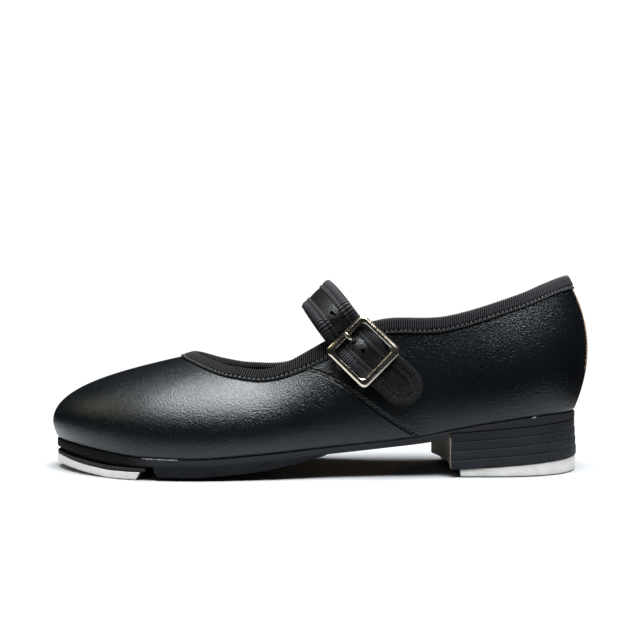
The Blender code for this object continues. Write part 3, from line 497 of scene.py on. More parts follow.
def make_finishes():
    made = {
        "upper": smooth_leather("black_leather", (0.0020, 0.0030, 0.0042), (0.0034, 0.0046, 0.0060),
                                0.275),
        "strap": smooth_leather("strap_leather_black", (0.006, 0.0064, 0.0072),
                                (0.011, 0.0115, 0.0125), 0.36),
        "lining": woven("lining_cloth", (0.012, 0.012, 0.013), (0.028, 0.028, 0.03), 0.7),
        "sock": woven("sock_cloth", (0.018, 0.018, 0.02), (0.04, 0.04, 0.044), 0.9),
        "tape": tape_cloth("grosgrain", (0.0006, 0.0007, 0.0009), (0.050, 0.0535, 0.059)),
        "thread": thread("black_thread", (0.003, 0.003, 0.0034), (0.008, 0.008, 0.009)),
        # a lighter copy of the black thread: painted glints for the topline's stitches
        "glint_thread": thread("thread_painted_glints", (0.05, 0.052, 0.056), (0.13, 0.133, 0.14)),
        "sole": sole_side("sole_rubber_black", (0.0018, 0.002, 0.0024), (0.022, 0.0242, 0.0275)),
        "tread": rubber("tread_rubber", (0.0015, 0.0025, 0.0042), (0.0045, 0.0062, 0.0088), 0.7, 0.7),
        "stack": rubber("heel_stack_black", (0.0095, 0.0115, 0.0148), (0.0168, 0.0195, 0.024), 0.62, 0.35),
        "core": board("heel_core_board", (0.19, 0.16, 0.115), (0.36, 0.31, 0.235), 0.9),
        "tapboard": board("tap_board_black", (0.012, 0.0125, 0.014), (0.022, 0.023, 0.026)),
        "fibre": board("insole_fibreboard", (0.28, 0.22, 0.15), (0.42, 0.34, 0.25)),
        # a pale finish for the painted highlight along the outer quarter's cut edge
        "edge": board("pale_edge_painted_highlight", (0.16, 0.14, 0.12), (0.30, 0.27, 0.24)),
        "stiff": board("stiffener", (0.40, 0.36, 0.30), (0.52, 0.47, 0.40), 1.1),
        "cork": board("cork_filler", (0.22, 0.13, 0.07), (0.42, 0.28, 0.16), 1.8),
        "tap": metal("tap_aluminium", (0.66, 0.65, 0.62), (0.80, 0.79, 0.76), 0.42, metallic=0.45),
        "screw": metal("screw_steel", (0.42, 0.42, 0.43), (0.62, 0.62, 0.62), 0.33, 0.4, (1, 1, 1)),
        "nickel": metal("buckle_nickel", (0.66, 0.58, 0.47), (0.80, 0.73, 0.62), 0.15, 0.5, (1, 1, 1)),
        "glue": Finish("dried_glue", (0.30, 0.30, 0.29), 0.3, Coat_Weight=0.4),
    }
    made["glue"].bumped(made["glue"].noise(0.8, 3), 0.08, 0.6)
    return made


FINISHES = make_finishes()


# ---------------------------------------------------------------- meshes

def solid(name, points, faces):
    """A closed mesh object from points in millimetres, with its faces turned outward."""
    mesh = bpy.data.meshes.new(name)
    points = np.asarray(points, float).reshape(-1, 3) / 1000 + SHIFT
    mesh.from_pydata(points.tolist(), [], [tuple(int(i) for i in f) for f in faces])
    work = bmesh.new()
    work.from_mesh(mesh)
    bmesh.ops.recalc_face_normals(work, faces=work.faces)
    if work.calc_volume(signed=True) < 0:
        bmesh.ops.reverse_faces(work, faces=work.faces)
    work.to_mesh(mesh)
    work.free()
    made = bpy.data.objects.new(name, mesh)
    bpy.context.scene.collection.objects.link(made)
    return made


def smooth(mesh, sharp=40):
    """Smooth shading, but for edges sharper than that many degrees."""
    mesh.shade_smooth()
    mesh.set_sharp_from_angle(angle=math.radians(sharp))


def cut(made, *tools, operation="DIFFERENCE"):
    """Cuts other objects out of an object, or joins them to it, and removes them."""
    for tool in tools:
        cutting = made.modifiers.new("cut", "BOOLEAN")
        cutting.object = tool
        cutting.operation = operation
    bpy.context.view_layer.update()
    graph = bpy.context.evaluated_depsgraph_get()
    mesh = bpy.data.meshes.new_from_object(made.evaluated_get(graph))
    made.modifiers.clear()
    made.data = mesh
    for tool in tools:
        bpy.data.objects.remove(tool)


def piece(name, points, faces, finish, body, slot, stands_for=(), sharp=40, blended=False, crest=None):
    """A visible piece that moves with a body of the frame, or, when blended, has its place baked into
    its mesh; with neither, its caller bakes it once it is cut. crest is a number for each point, 1 on
    top of a rib and 0 in a valley and lowered where shade is painted, that its finish reads."""
    made = solid(name, points, faces)
    made.data.materials.append(FINISHES[finish].material)
    smooth(made.data, sharp)
    # the crest numbers carry painted shade: the tape finish darkens where they are low
    if crest is not None:
        made.data.attributes.new("crest", "FLOAT", "POINT").data.foreach_set(
            "value", np.asarray(crest, np.float32).ravel())
    if blended:
        bend(made)
    elif body:
        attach(made, body)
    if stands_for:
        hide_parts(*stands_for)
    return made


def bend(made):
    """Bakes a finished piece's place into its mesh."""
    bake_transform(made)


def sheet_faces(rows, columns):
    """Faces of a closed sheet of two grids of rows x columns points, front then back."""
    half = rows * columns
    grid = np.arange(half).reshape(rows, columns)
    a, b, c, d = grid[:-1, :-1], grid[:-1, 1:], grid[1:, 1:], grid[1:, :-1]
    near = np.stack([a, b, c, d], axis=-1).reshape(-1, 4)
    rim = np.concatenate([grid[0, :-1], grid[:-1, -1], grid[-1, :0:-1], grid[:0:-1, 0]])
    after = np.roll(rim, -1)
    sides = np.stack([rim, after, after + half, rim + half], axis=-1)
    return np.concatenate([near, near[:, ::-1] + half, sides])


def tube_faces(rings, size, closed):
    """Faces of a sweep of that many rings of size points. The ends are capped unless closed."""
    r = np.arange(rings if closed else rings - 1)[:, None]
    k = np.arange(size)[None, :]
    a, b, on = r * size, (r + 1) % rings * size, (k + 1) % size
    faces = np.stack([a + k, a + on, b + on, b + k], axis=-1).reshape(-1, 4).tolist()
    if not closed:
        faces += [list(range(size))[::-1], list(range((rings - 1) * size, rings * size))]
    return faces


def sheet_piece(name, front, back, finish, body, slot, **more):
    """A closed sheet between two grids of points."""
    rows, columns = front.shape[:2]
    points = np.concatenate([front.reshape(-1, 3), back.reshape(-1, 3)])
    return piece(name, points, sheet_faces(rows, columns), finish, body, slot, **more)


def tube_piece(name, rings, finish, body, slot, closed=False, **more):
    """A sweep through rings of points."""
    rings = np.asarray(rings, float)
    return piece(name, rings, tube_faces(len(rings), rings.shape[1], closed), finish, body, slot, **more)


def stitches(name, line, normals, finish, body, slot, pitch=STITCH, length=1.5, radius=0.24,
             sunk=0.06, **more):
    """A row of threads along a line of points, each a slim bead half sunk in the surface."""
    run = run_of(line)
    count = max(int(run[-1] / pitch), 1)
    middles = (np.arange(count) + 0.5) * run[-1] / count

    def at(table, d):
        return np.stack([np.interp(d, run, table[:, k]) for k in range(3)], axis=-1)

    centre, up = at(line, middles), unit(at(normals, middles))
    along = unit(at(line, np.minimum(middles + 0.4, run[-1])) - at(line, np.maximum(middles - 0.4, 0)))
    side = unit(np.cross(up, along))
    # place along the thread, share of the radius, and height of the middle
    shape = [(-0.5, 0.35, -0.5), (-0.38, 0.8, -0.1), (-0.15, 1, 0.1), (0.15, 1, 0.1),
             (0.38, 0.8, -0.1), (0.5, 0.35, -0.5)]
    cos, sin = circle(8)
    points, faces, pattern = [], [], tube_faces(len(shape), 8, False)
    for c, u, a, b in zip(centre, up, along, side):
        start = len(points) * 8
        for t, swell, rise in shape:
            middle = c + a * t * length + u * (rise * radius - sunk)
            points.append(middle + radius * swell * (cos[:, None] * b + sin[:, None] * u))
        faces += [[i + start for i in f] for f in pattern]
    return piece(name, np.concatenate(points), faces, finish, body, slot, sharp=80, **more)


def bead(name, line, side, up, radius, finish, slot):
    """A thin round bead along a line of points, with its radius at each of them."""
    cos, sin = circle(8)
    rings = line[:, None] + radius[:, None, None] * (cos[:, None] * side + sin[:, None] * up)
    tube_piece(name, rings, finish, "shoe", slot)


# ---------------------------------------------------------------- the upper

def toe_edge(s, which):
    """Where the outer (0) or inner (1) quarter's front edge lies at height s."""
    a, b, c = SEAM_LOOK[which]
    return a + b * s + c * s * s


def graded(first, end, count, dense, pull=0.12, reach=6):
    """Positions between first (a) and end (b), denser near the ends named in dense. Where pull
    times reach is over 1, as on the quarters, the grid's first rows double back to that end."""
    t = np.linspace(0, 1, count)
    for name in dense:
        t = t if name == "a" else 1 - t
        t = t + pull * (np.exp(-reach * t) - 1) * (1 - t)
        t = t if name == "a" else 1 - t
    t = (t - t.min()) / (t.max() - t.min())
    return first[:, None] + (end - first)[:, None] * t


def stiffener_room(u, s):
    """1 where the toe puff or the heel counter lies behind the leather, 0 elsewhere."""
    from_toe = abs(u - TOE_MERIDIAN)
    from_back = np.minimum(u % AROUND, AROUND - u % AROUND)
    zone = np.maximum(1 - fade(from_toe, 2.6, 3.6), 1 - fade(from_back, 2.85, 3.5))
    return zone * (1 - fade(s, 0.62, 0.8))


def spacing(u, s):
    """Millimetres per meridian at (u, s)."""
    return np.linalg.norm(last.skin(u + 0.02, s) - last.skin(u - 0.02, s), axis=-1) / 0.04


def rows_of(count):
    """Heights from feather to topline, a little denser at the feather."""
    t = np.linspace(0, 1, count)
    return t - 0.05 * np.sin(2 * math.pi * t) * 0.5


def press(u, s):
    """How far the upper is pressed in where it meets the sole."""
    return -0.35 * (1 - fade(s * last.length_at(u), 0, 1.4))


def make_vamp():
    s = rows_of(110)
    first, end = toe_edge(s, 0), toe_edge(s, 1)
    first = first - UNDERLAP / spacing(first, s)
    end = end + UNDERLAP / spacing(end, s)
    u = graded(first, end, 300, "ab")
    s = np.broadcast_to(s[:, None], u.shape)
    from_edge = np.minimum(u - first[:, None], end[:, None] - u) * spacing(u, s)
    skive = -0.55 * (1 - fade(from_edge, UNDERLAP - 0.2, UNDERLAP + 1.2))
    sheet_piece("vamp_skin", last.skin(u, s, skive + press(u, s)), last.skin(u, s, -LEATHER), "upper", "shoe",
                "upper_leather", stands_for=["vamp"])


def lap_height(d, run=None):
    """Height of the quarter's face over the last: d is the distance behind its front edge, and
    run the distance along it, where the needle holes are wanted."""
    body = 0.32 * (1 - fade(d, 1.0, 14.0))
    edge = -0.3 * (1 - np.sqrt(np.clip(1 - (1 - np.clip(d / 0.55, 0, 1))**2, 0, 1)))
    groove = -0.2 * np.exp(-((d - SEAM_ROW) / 0.45)**2)
    if run is None:
        return body + edge + groove
    return body + edge + groove * (1 + 2.6 * crests(run / STITCH, 2))


def make_quarter(name, node, seam):
    """A quarter with its front edge lapped over the vamp; seam is 0 for the outer, 1 for the inner."""
    s = rows_of(170)
    edge = toe_edge(s, seam) + (0 if seam else AROUND)
    back = np.full_like(s, AROUND) + (-0.004 if seam else 0.004)
    first, end = (edge, back) if seam else (back, edge)
    u = graded(first, end, 240, "a" if seam else "b", QUARTER_PULL, QUARTER_REACH)
    s = np.broadcast_to(s[:, None], u.shape)
    d = abs(u - edge[:, None]) * spacing(u, s)
    run = np.broadcast_to(run_of(last.skin(edge, s[:, 0]))[:, None], u.shape)
    from_back = abs(u - back[:, None]) * spacing(u, s)
    back_fold = -0.5 * (1 - fade(from_back, 0, 0.9))
    outer = last.skin(u, s, lap_height(d, run) + back_fold + press(u, s))
    inner = last.skin(u, s, -LEATHER + 0.6 * (1 - fade(d, UNDERLAP, UNDERLAP + 1.2)))
    sheet_piece(name, outer, inner, "upper", "shoe", "upper_leather", stands_for=[node])


def seam_stitches():
    s = np.linspace(0.0, 0.93, 300)
    for side, seam, direction in (("outer", 0, 1), ("inner", 1, -1)):
        u = toe_edge(s, seam)
        u = u - direction * SEAM_ROW / spacing(u, s)
        line = last.skin(u, s, lap_height(np.full_like(s, SEAM_ROW)) + 0.1)
        stitches(f"seam_thread_{side}_1", line, last.normal(u, s), "thread", "shoe", "upper_leather",
                 radius=0.27, length=1.3)


def make_edge_highlight():
    """A thin pale bead along the outer quarter's cut edge by the buckle: a painted highlight where that edge
    catches the light.
    """
    s = np.linspace(0.6, 0.93, 160)
    u = toe_edge(s, 0)
    line, out = last.skin(u, s, 0.12), last.normal(u, s)
    side = unit(np.cross(out, np.gradient(line, axis=0)))
    radius = 0.06 + 0.1 * abs(np.sin(s * 37) * np.sin(s * 61 + 1))
    bead("quarter_edge_highlight", line, side[:, None], out[:, None], radius, "edge", "upper_leather")


def make_linings():
    s = np.linspace(0, 1, 50)
    for name, node, first, end in (
            ("vamp_lining_cloth", "vamp_lining", toe_edge(s, 0) + 0.01, toe_edge(s, 1) - 0.01),
            ("quarter_lining_cloth", "quarter_lining", toe_edge(s, 1) + 0.01,
             toe_edge(s, 0) + AROUND - 0.01)):
        u = graded(first, end, 200, "")
        rows = np.broadcast_to(s[:, None], u.shape)
        face = -(LEATHER + GAP + (STIFFENER + GAP) * stiffener_room(u, rows))
        sheet_piece(name, last.skin(u, rows, face), last.skin(u, rows, face - LINING), "lining", "shoe",
                    "lining_fabric", stands_for=[node])


def topline():
    """u of evenly spaced places round the topline, and the distance along it."""
    us = np.linspace(0, AROUND, 4001)
    line = last.skin(us, np.ones_like(us))
    run = run_of(line)
    count = int(round(run[-1] / RIB)) * 6
    even = np.linspace(0, run[-1], count, endpoint=False)
    return np.interp(even, run, us), even, run[-1]


def make_topline_binding():
    u, run, whole = topline()
    ribs = round(whole / RIB)
    wave = crests(run * ribs / whole, 0.8)
    far = -(LEATHER + GAP + LINING) - 0.05
    # distance below the topline, outward of the leather, and how much a rib lifts it
    profile = [(6.25, 0.10, 0), (6.30, 0.34, .5), (6.1, 0.50, 1), (5.6, 0.56, 1), (5.15, 0.44, .6),
               (4.75, 0.44, .6), (4.3, 0.66, 1), (3.2, 0.74, 1), (2.0, 0.80, 1), (1.0, 0.86, 1),
               (0.3, 0.78, 1), (-0.2, 0.48, 1), (-0.52, 0.0, 1), (-0.66, -0.7, 1), (-0.62, -1.3, 1),
               (-0.4, far - 0.1, 1), (0.1, far - 0.42, 1), (1.0, far - 0.52, 1), (3.5, far - 0.5, 1),
               (5.6, far - 0.42, 1), (5.85, far - 0.2, .5), (5.8, far - 0.02, 0), (0.2, far + 0.1, 0),
               (-0.1, far + 0.4, 0), (-0.12, -0.3, 0), (0.2, 0.06, 0)]
    rings = np.empty((len(u), len(profile), 3))
    long = last.length_at(u)
    wider = 1 + 0.36 * np.exp(-((u - 5.15) / 0.62)**2) + 0.3 * np.exp(-((u - 16.8) / 0.6)**2)
    for k, (down, out, share) in enumerate(profile):
        down = down * wider if out > -1 and down > 1 else down
        direction = 1 if out > -1 else -1
        raised = RIB_LIFT * share * wave * direction
        drop = -RIB_LIFT * share * wave if -0.7 < np.max(down) < 0 else 0
        rings[:, k] = last.skin(u, 1 - (down + drop) / long, out + raised)
    seam = 1 - TAPE_SEAM * wider / long
    line, out = last.skin(u, seam, 0.50), last.normal(u, seam)
    around = run_of(line) / run_of(np.vstack([line, line[:1]]))[-1]
    count = round(around[-1] * run_of(line)[-1] / STITCH)
    pits = crests(around * count, 3)
    near = np.array([1 if out > -1 and 4.6 < down < 5.3 else 0 for down, out, _ in profile])
    # painted shade: the tape darkens in its rib valleys and needle holes
    crest = wave[:, None] * (1 - NEEDLE_HOLE_SHADE * pits[:, None] * near)
    # painted shade: the tape is darker at the throat, fully so ahead of x = -20 mm
    crest = crest * (0.55 + 0.45 * fade(line[:, :1], -20, 12))
    rings -= (near * 0.3 * pits[:, None])[..., None] * out[:, None]
    tube_piece("topline_tape", rings, "tape", "shoe", "grosgrain_tape", closed=True,
               stands_for=["topline_binding"], crest=crest)
    # the topline's stitches use the lighter thread, a painted glint
    stitches("topline_thread", line, out, "glint_thread", "shoe", "grosgrain_tape",
             pitch=run_of(line)[-1] / count)


# ---------------------------------------------------------------- plates of the sole and heel

def outline(inset):
    """The sole's outline, toe to heel, along its outer and its inner side."""
    us = np.linspace(0, AROUND, 2201)
    line = (feather(us) - outward(us) * inset)[:, :2]
    rolled = np.roll(line[:-1], -int(np.argmax(line[:-1, 0])), axis=0)
    toe = int(np.argmin(rolled[:, 0]))
    return rolled[:toe + 1][::-1], np.vstack([rolled[toe:], rolled[:1]])


def side_line(line, low, high):
    """The part of one side's outline between two x."""
    xs = line[:, 0]
    points = [tuple(p) for p in line[(xs > low) & (xs < high)]]
    if low > xs[0]:
        points.insert(0, (low, float(np.interp(low, xs, line[:, 1]))))
    if high < xs[-1]:
        points.append((high, float(np.interp(high, xs, line[:, 1]))))
    return np.array(points)


def plate_loop(inset, front=None, rear=None, hollow=0.0, step=0.7, soften=3):
    """Closed outline of a plate. front and rear are x, or a pair for the outer and inner side."""
    outer, inner = outline(inset)
    fronts, rears = (np.broadcast_to(far if end is None else end, 2).tolist()
                     for end, far in ((front, -999), (rear, 999)))
    a = side_line(outer, fronts[0], rears[0])
    b = side_line(inner, fronts[1], rears[1])[::-1]
    w = np.linspace(0, 1, 60)[1:-1, None]
    parts = [a] + ([a[-1] + (b[0] - a[-1]) * w] if rear is not None else []) + [b]
    if front is not None:
        line = b[-1] + (a[0] - b[-1]) * w
        line[:, 0] += hollow * 4 * (w * (1 - w))[:, 0]
        parts.append(line)
    loop = np.concatenate(parts)
    loop = np.vstack([loop, loop[:1]])
    run = run_of(loop)
    even = np.linspace(0, run[-1], max(int(run[-1] / step), 12), endpoint=False)
    loop = np.column_stack([np.interp(even, run, loop[:, k]) for k in range(2)])
    for _ in range(soften):
        loop = 0.25 * np.roll(loop, 1, axis=0) + 0.5 * loop + 0.25 * np.roll(loop, -1, axis=0)
    return loop


def loop_normals(loop):
    """The outward direction at each point of a closed outline."""
    step = np.roll(loop, -1, axis=0) - np.roll(loop, 1, axis=0)
    normal = unit(np.column_stack([step[:, 1], -step[:, 0]]))
    x, y = loop.T
    area = (x * np.roll(y, -1) - np.roll(x, -1) * y).sum()
    return normal if area > 0 else -normal


def cap_faces(loop, start, spread):
    """Triangles that fill a loop, and new inner points; start, where the loop's points are numbered from, is
    not used.
    """
    low, high = loop.min(axis=0), loop.max(axis=0)
    xs = np.arange(low[0] + spread[0] / 2, high[0], spread[0])
    ys = np.arange(low[1] + spread[1] / 2, high[1], spread[1])
    grid = np.array([(x, y) for x in xs for y in ys]).reshape(-1, 2)
    near = BVHTree.FromPolygons([Vector((*p, 0)) for p in loop], [tuple(range(len(loop)))])
    aways = [near.find_nearest(Vector((*p, 0)))[3] for p in grid]
    grid = grid[[k for k, away in enumerate(aways) if away is not None and away < 1e-5]]
    if len(grid):
        gaps = np.array([np.min(np.abs(loop - p).sum(axis=1)) for p in grid])
        grid = grid[gaps > min(spread) * 0.6]
    count = len(loop)
    points = [Vector(p) for p in loop] + [Vector(p) for p in grid]
    edges = [(k, (k + 1) % count) for k in range(count)]
    _, _, faces, sources, _, _ = delaunay_2d_cdt(points, edges, [], 1, 1e-6)
    index = [src[0] if src else None for src in sources]
    return grid, [[index[k] for k in f] for f in faces if None not in [index[k] for k in f]]


def plate(name, loop, top, bottom, finish, slot, profile, spread=(4, 4), under=None, shape=None,
          stands_for=()):
    """A plate with shaped edges. profile runs from top to bottom as (inset, share of the height
    from the underside, millimetres added); under adds relief to the underside at (x, y)."""
    normals = loop_normals(loop)
    rings = []
    for inset, share, add in profile:
        at = loop - normals * inset
        low, high = bottom(at[:, 0]), top(at[:, 0])
        if under is not None:
            low = low + under(at[:, 0], at[:, 1])
        ring = np.column_stack([at, low + (high - low) * share + add])
        rings.append(shape(ring, share) if shape else ring)
    n, size = len(rings), len(loop)
    points, faces = list(rings), tube_faces(n, size, False)[:-2]
    total = n * size
    ends = ((rings[0], 0, top, None), (rings[-1], (n - 1) * size, bottom, under))
    for ring, first, height, lift in ends:
        inner, fill = cap_faces(ring[:, :2], first, spread)
        z = height(inner[:, 0]) if len(inner) else np.zeros(0)
        if lift is not None and len(inner):
            z = z + lift(inner[:, 0], inner[:, 1])
        points.append(np.column_stack([inner, z]) if len(inner) else np.zeros((0, 3)))
        faces += [[first + i if i < size else total + i - size for i in f] for f in fill]
        total += len(inner)
    return piece(name, np.concatenate(points), faces, finish, "shoe", slot, stands_for=stands_for)


def heel_plane(level):
    """The sloping plane on top of that many heel lifts, as a height at x."""
    share = level / LIFTS
    rise = HEEL_BASE_RISE + (HEEL_SEAT_RISE - HEEL_BASE_RISE) * share
    return lambda x: HEEL_BASE + (HEEL_SEAT - HEEL_BASE) * share + rise * (np.asarray(x) - 57)


def outsole_base(x):
    """Underside of the outsole, that is thicker at the toe and over the heel's front."""
    x = np.asarray(x, float)
    toe, breast = 1 - fade(x, -80, -60), fade(x, 25, 57)
    plain = sole_top(x) - WAIST_SOLE - (TOE_SOLE - WAIST_SOLE) * toe - BREAST_EXTRA * breast
    return np.where(x > BREAST_OUTER - 1.5, np.minimum(plain, heel_plane(LIFTS)(x)), plain)


def seated_base(x):
    """Underside of the outsole, flat on the heel stack behind the breast."""
    seat = heel_plane(LIFTS)(x) + GAP
    return np.where(np.asarray(x) > BREAST_OUTER - 1.5, np.maximum(outsole_base(x), seat), outsole_base(x))


def tap_base(x):
    return through(TAP_BASE, x)


ROUNDED = [(0.5, 1, 0), (0.2, 1, -0.06), (0.05, 1, -0.22), (0, 1, -0.5), (0, 0.5, 0), (0, 0, 0.5),
           (0.05, 0, 0.22), (0.2, 0, 0.06), (0.5, 0, 0)]
CRISP = [(0.3, 1, 0), (0.1, 1, -0.03), (0, 1, -0.16), (0, 0.5, 0), (0, 0, 0.16), (0.1, 0, 0.03),
         (0.3, 0, 0)]


def tread_relief(x, y):
    """Fine saw-toothed bars across the tread, with a plain margin at its rear."""
    bars = np.abs((x + 0.004 * y * y) / TREAD_BARS % 1 - 0.5) * 2
    return 0.5 * bars * (1 - fade(x, -8, 0)) * fade(x, TREAD_FRONT, TREAD_FRONT + 2)


def round_tread_front(points, share):
    """Sets the tread's front edge back towards its underside."""
    near = 1 - fade(points[:, 0], TREAD_FRONT, TREAD_FRONT + 2.5)
    points[:, 0] += 1.3 * (1 - share)**2 * near
    points[:, 2] += 0.7 * (1 - share)**3 * near
    return points


def tap_top(x):
    """The toe plate's top, that swells a little round the toe."""
    return tap_base(x) + TOE_TAP + 0.6 * (1 - fade(x, -119, -106))


def slope_tap_rear(points, share):
    """Slopes the toe plate's rear edge forward towards its underside."""
    points[:, 0] -= 1.5 * (1 - share) * fade(points[:, 0], TOE_TAP_REAR - 2.5, TOE_TAP_REAR - 0.4)
    return points


def make_sole():
    plate("outsole_rubber", plate_loop(-0.4), sole_top, seated_base, "sole", "sole_rubber",
          [(1.6, 1, 0), (0.3, 1, 0.0), (0.06, 1, -0.16), (0, 1, -0.42), (0.0, 0.5, 0), (0, 0, 0.12),
           (0.04, 0, 0.03), (0.2, 0, 0), (1.2, 0, 0)], stands_for=["outsole"])
    plate("tread_rubber", plate_loop(-0.4, TREAD_FRONT, TREAD_REAR, step=0.37, soften=8),
          lambda x: outsole_base(x) - 0.01, lambda x: through(TREAD_BASE, x), "tread", "sole_rubber",
          [(0.5, 1, 0), (0.03, 1, 0), (0, 1, -0.05), (0, 0.5, 0), (0, 0, 0.45), (0.14, 0, 0.12),
           (0.4, 0, 0), (1.0, 0, 0)],
          spread=(0.375, 3.0), under=tread_relief, shape=round_tread_front,
          stands_for=["forepart_tread"])
    plate("tap_board", plate_loop(-0.2, None, TAP_BOARD_REAR),
          lambda x: tap_base(x) + TOE_TAP + GAP + TAP_BOARD, lambda x: tap_top(x) + 0.28, "tapboard",
          "fibreboard", ROUNDED, stands_for=["toe_tap_board"])
    plate("tap_spacer", plate_loop(2.2, None, SPACER_REAR), lambda x: outsole_base(x) - 0.05,
          lambda x: tap_base(x) + TOE_TAP + TAP_BOARD + GAP + 0.05, "tapboard", "fibreboard", CRISP,
          stands_for=["toe_tap_spacer"])
    toe_plate = plate(
        "toe_plate", plate_loop(-0.3, None, TOE_TAP_REAR, step=0.5, soften=6), tap_top, tap_base,
        "tap", "tap_metal", [(0.5, 1, 0), (0.12, 1, -0.03), (0, 1, -0.16), (0, 0.45, 0),
                             (0.03, 0, 0.45), (0.18, 0, 0.17), (0.45, 0, 0.04), (1.2, 0, 0)],
        shape=slope_tap_rear, stands_for=["toe_tap"])
    plate("sock_cloth", plate_loop(5.2), lambda x: sole_top(x) + BOARD_RISE + BOARD + GAP + SOCK,
          lambda x: sole_top(x) + BOARD_RISE + BOARD + 0.1, "sock", "sock_fabric", CRISP,
          stands_for=["sock_lining"])
    return toe_plate


def make_heel():
    breast = (BREAST_OUTER, BREAST_INNER)
    for level in range(LIFTS):
        flare = LIFT_FLARE * (LIFTS - 1 - level)
        plate(f"lift_{level + 1}", plate_loop(-0.3 - flare, breast, None, BREAST_HOLLOW, soften=1),
              lambda x, above=heel_plane(level + 1): above(x) - 0.03, heel_plane(level), "stack",
              "heel_stack", [(0.9, 1, 0), (0.6, 1, -0.12), (0.16, 1, -0.2), (0, 1, -0.36), (0, 0.5, 0),
                             (0, 0, 0.14), (0.1, 0, 0.02), (0.5, 0, 0)],
              stands_for=[f"heel_lift_{level + 1}"])
    tap_front = tuple(x + HEEL_TAP_SETBACK for x in breast)
    heel_plate = plate(
        "heel_plate", plate_loop(-0.6, tap_front, None, BREAST_HOLLOW, step=0.5, soften=3),
        lambda x: heel_plane(0)(x) - 0.3, lambda x: np.zeros(np.shape(x)), "tap", "tap_metal",
        [(0.6, 1, 0), (0.2, 1, -0.04), (0.02, 1, -0.25), (0, 0.5, 0), (0.1, 0, 0.9), (0.4, 0, 0.38),
         (0.95, 0, 0.1), (1.7, 0, 0)], stands_for=["heel_tap"])
    make_breast(breast)
    return heel_plate


def make_breast(breast):
    """The bare board face of the heel's front, set in a black rim with a groove beside it."""
    flare = LIFT_FLARE * (LIFTS - 1)
    outer, inner = outline(-0.3 - flare)
    y = (float(np.interp(breast[0], *outer.T)), float(np.interp(breast[1], *inner.T)))
    w = np.linspace(0.018, 0.982, 60)
    t = np.linspace(0, 1, 24)[:, None]
    x = breast[0] + (breast[1] - breast[0]) * w + BREAST_HOLLOW * 4 * w * (1 - w)
    across = y[0] + (y[1] - y[0]) * w
    low, high = heel_plane(0)(x) + 0.5, outsole_base(x) - 0.1
    z = low + (high - low) * t
    groove = sum(0.28 * np.exp(-((w - at) / 0.008)**2) for at in (0.085, 0.915))
    front = np.stack(np.broadcast_arrays(x - 0.42 + groove, across, z), axis=-1)
    back = np.stack(np.broadcast_arrays(x + 0.15, across, z), axis=-1)
    sheet_piece("breast_board", front, back, "core", "shoe", "heel_stack")


# ---------------------------------------------------------------- screws

def turned(profile, place, sides):
    """Rings of a turned shape that stands on a place; profile lists radius and height."""
    cos, sin = circle(sides)
    return [np.column_stack([r * cos, r * sin, np.full(sides, z)]) + place for r, z in profile]


def cross_cutter(place):
    """Two crossing boxes joined, for the recess in a screw's head."""
    signs = np.array([[1 if i >> k & 1 else -1 for k in range(3)] for i in range(8)])
    faces = [(0, 1, 3, 2), (4, 6, 7, 5), (0, 4, 5, 1), (2, 3, 7, 6), (0, 2, 6, 4), (1, 5, 7, 3)]
    a, b = (solid("cross", place + (0, 0, 0.3) + signs * half, faces)
            for half in ((1.35, 0.28, 0.62), (0.28, 1.35, 0.6)))
    cut(a, b, operation="UNION")
    return a


def make_screws(toe_plate, heel_plate):
    """Countersunk heads with a cross recess, seen from below, and their seats in the plates."""
    for node, x, y in (("toe_tap_screw_1", -112, 4), ("toe_tap_screw_2", -88, -24),
                       ("toe_tap_screw_3", -88, 27), ("heel_tap_screw_1", 109, -3),
                       ("heel_tap_screw_2", 71, -20), ("heel_tap_screw_3", 70, 14)):
        at_toe = x < 0
        place = np.array([x, y, float(tap_base(x)) if at_toe else 0.0])
        top = 6.2 if at_toe else 12.5
        profile = [(0.5, 0.42), (0.9, 0.36), (1.9, 0.16), (2.5, 0.2), (2.6, 0.42), (1.2, 1.9),
                   (1.2, top), (0.4, top + 1)]
        head = tube_piece(node.replace("tap_screw", "screw_head"), turned(profile, place, 32), "screw",
                          "shoe", "steel", sharp=30, stands_for=[node])
        cut(head, cross_cutter(place))
        seat = turned(((2.75, -0.6), (2.75, 0.35), (1.3, 2.1)), place, 40)
        cut(toe_plate if at_toe else heel_plate, solid("seat", seat, tube_faces(3, 40, False)))
    smooth(toe_plate.data)
    smooth(heel_plate.data)


# ---------------------------------------------------------------- the strap


def strap_path(half, tip, step):
    """The strap's edge, root to root round the nose: s, w, and the way in."""
    nose = half + 1
    straight = np.arange(route.root, tip - nose, step)
    turn = np.linspace(0, math.pi, int(nose * math.pi / step))
    s = np.concatenate([straight, tip - nose + nose * np.sin(turn), straight[::-1]])
    w = np.concatenate([np.full(len(straight), half), half * np.cos(turn), np.full(len(straight), -half)])
    ns = np.concatenate([np.zeros(len(straight)), np.sin(turn), np.zeros(len(straight))])
    nw = np.concatenate([np.ones(len(straight)), np.cos(turn), -np.ones(len(straight))])
    return s, w, ns, nw


def strap_point(s, w, h):
    """A place on the strap, whose edges curl down a little where it arches over the instep."""
    arch = fade(-s, 14, 22) * (1 - fade(-s, 45, 60))
    return route.point(s, w, h - 1.3 * arch * (abs(w) / (STRAP_WIDTH / 2))**7)


def make_strap_lining():
    """A second layer under the strap, that shows as a narrow edge beside the arch."""
    s = np.arange(route.root + 2, -14.5, 0.8)
    w = np.linspace(-9.7, 8.2, 24)[None, :]
    rows = np.broadcast_to(s[:, None], (len(s), 24))
    top = strap_point(rows, w, -STRAP_LEATHER / 2 - 0.72)
    sheet_piece("strap_lining", top, strap_point(rows, w, -STRAP_LEATHER / 2 - 1.1), "strap", "strap",
                "upper_leather", blended=True)


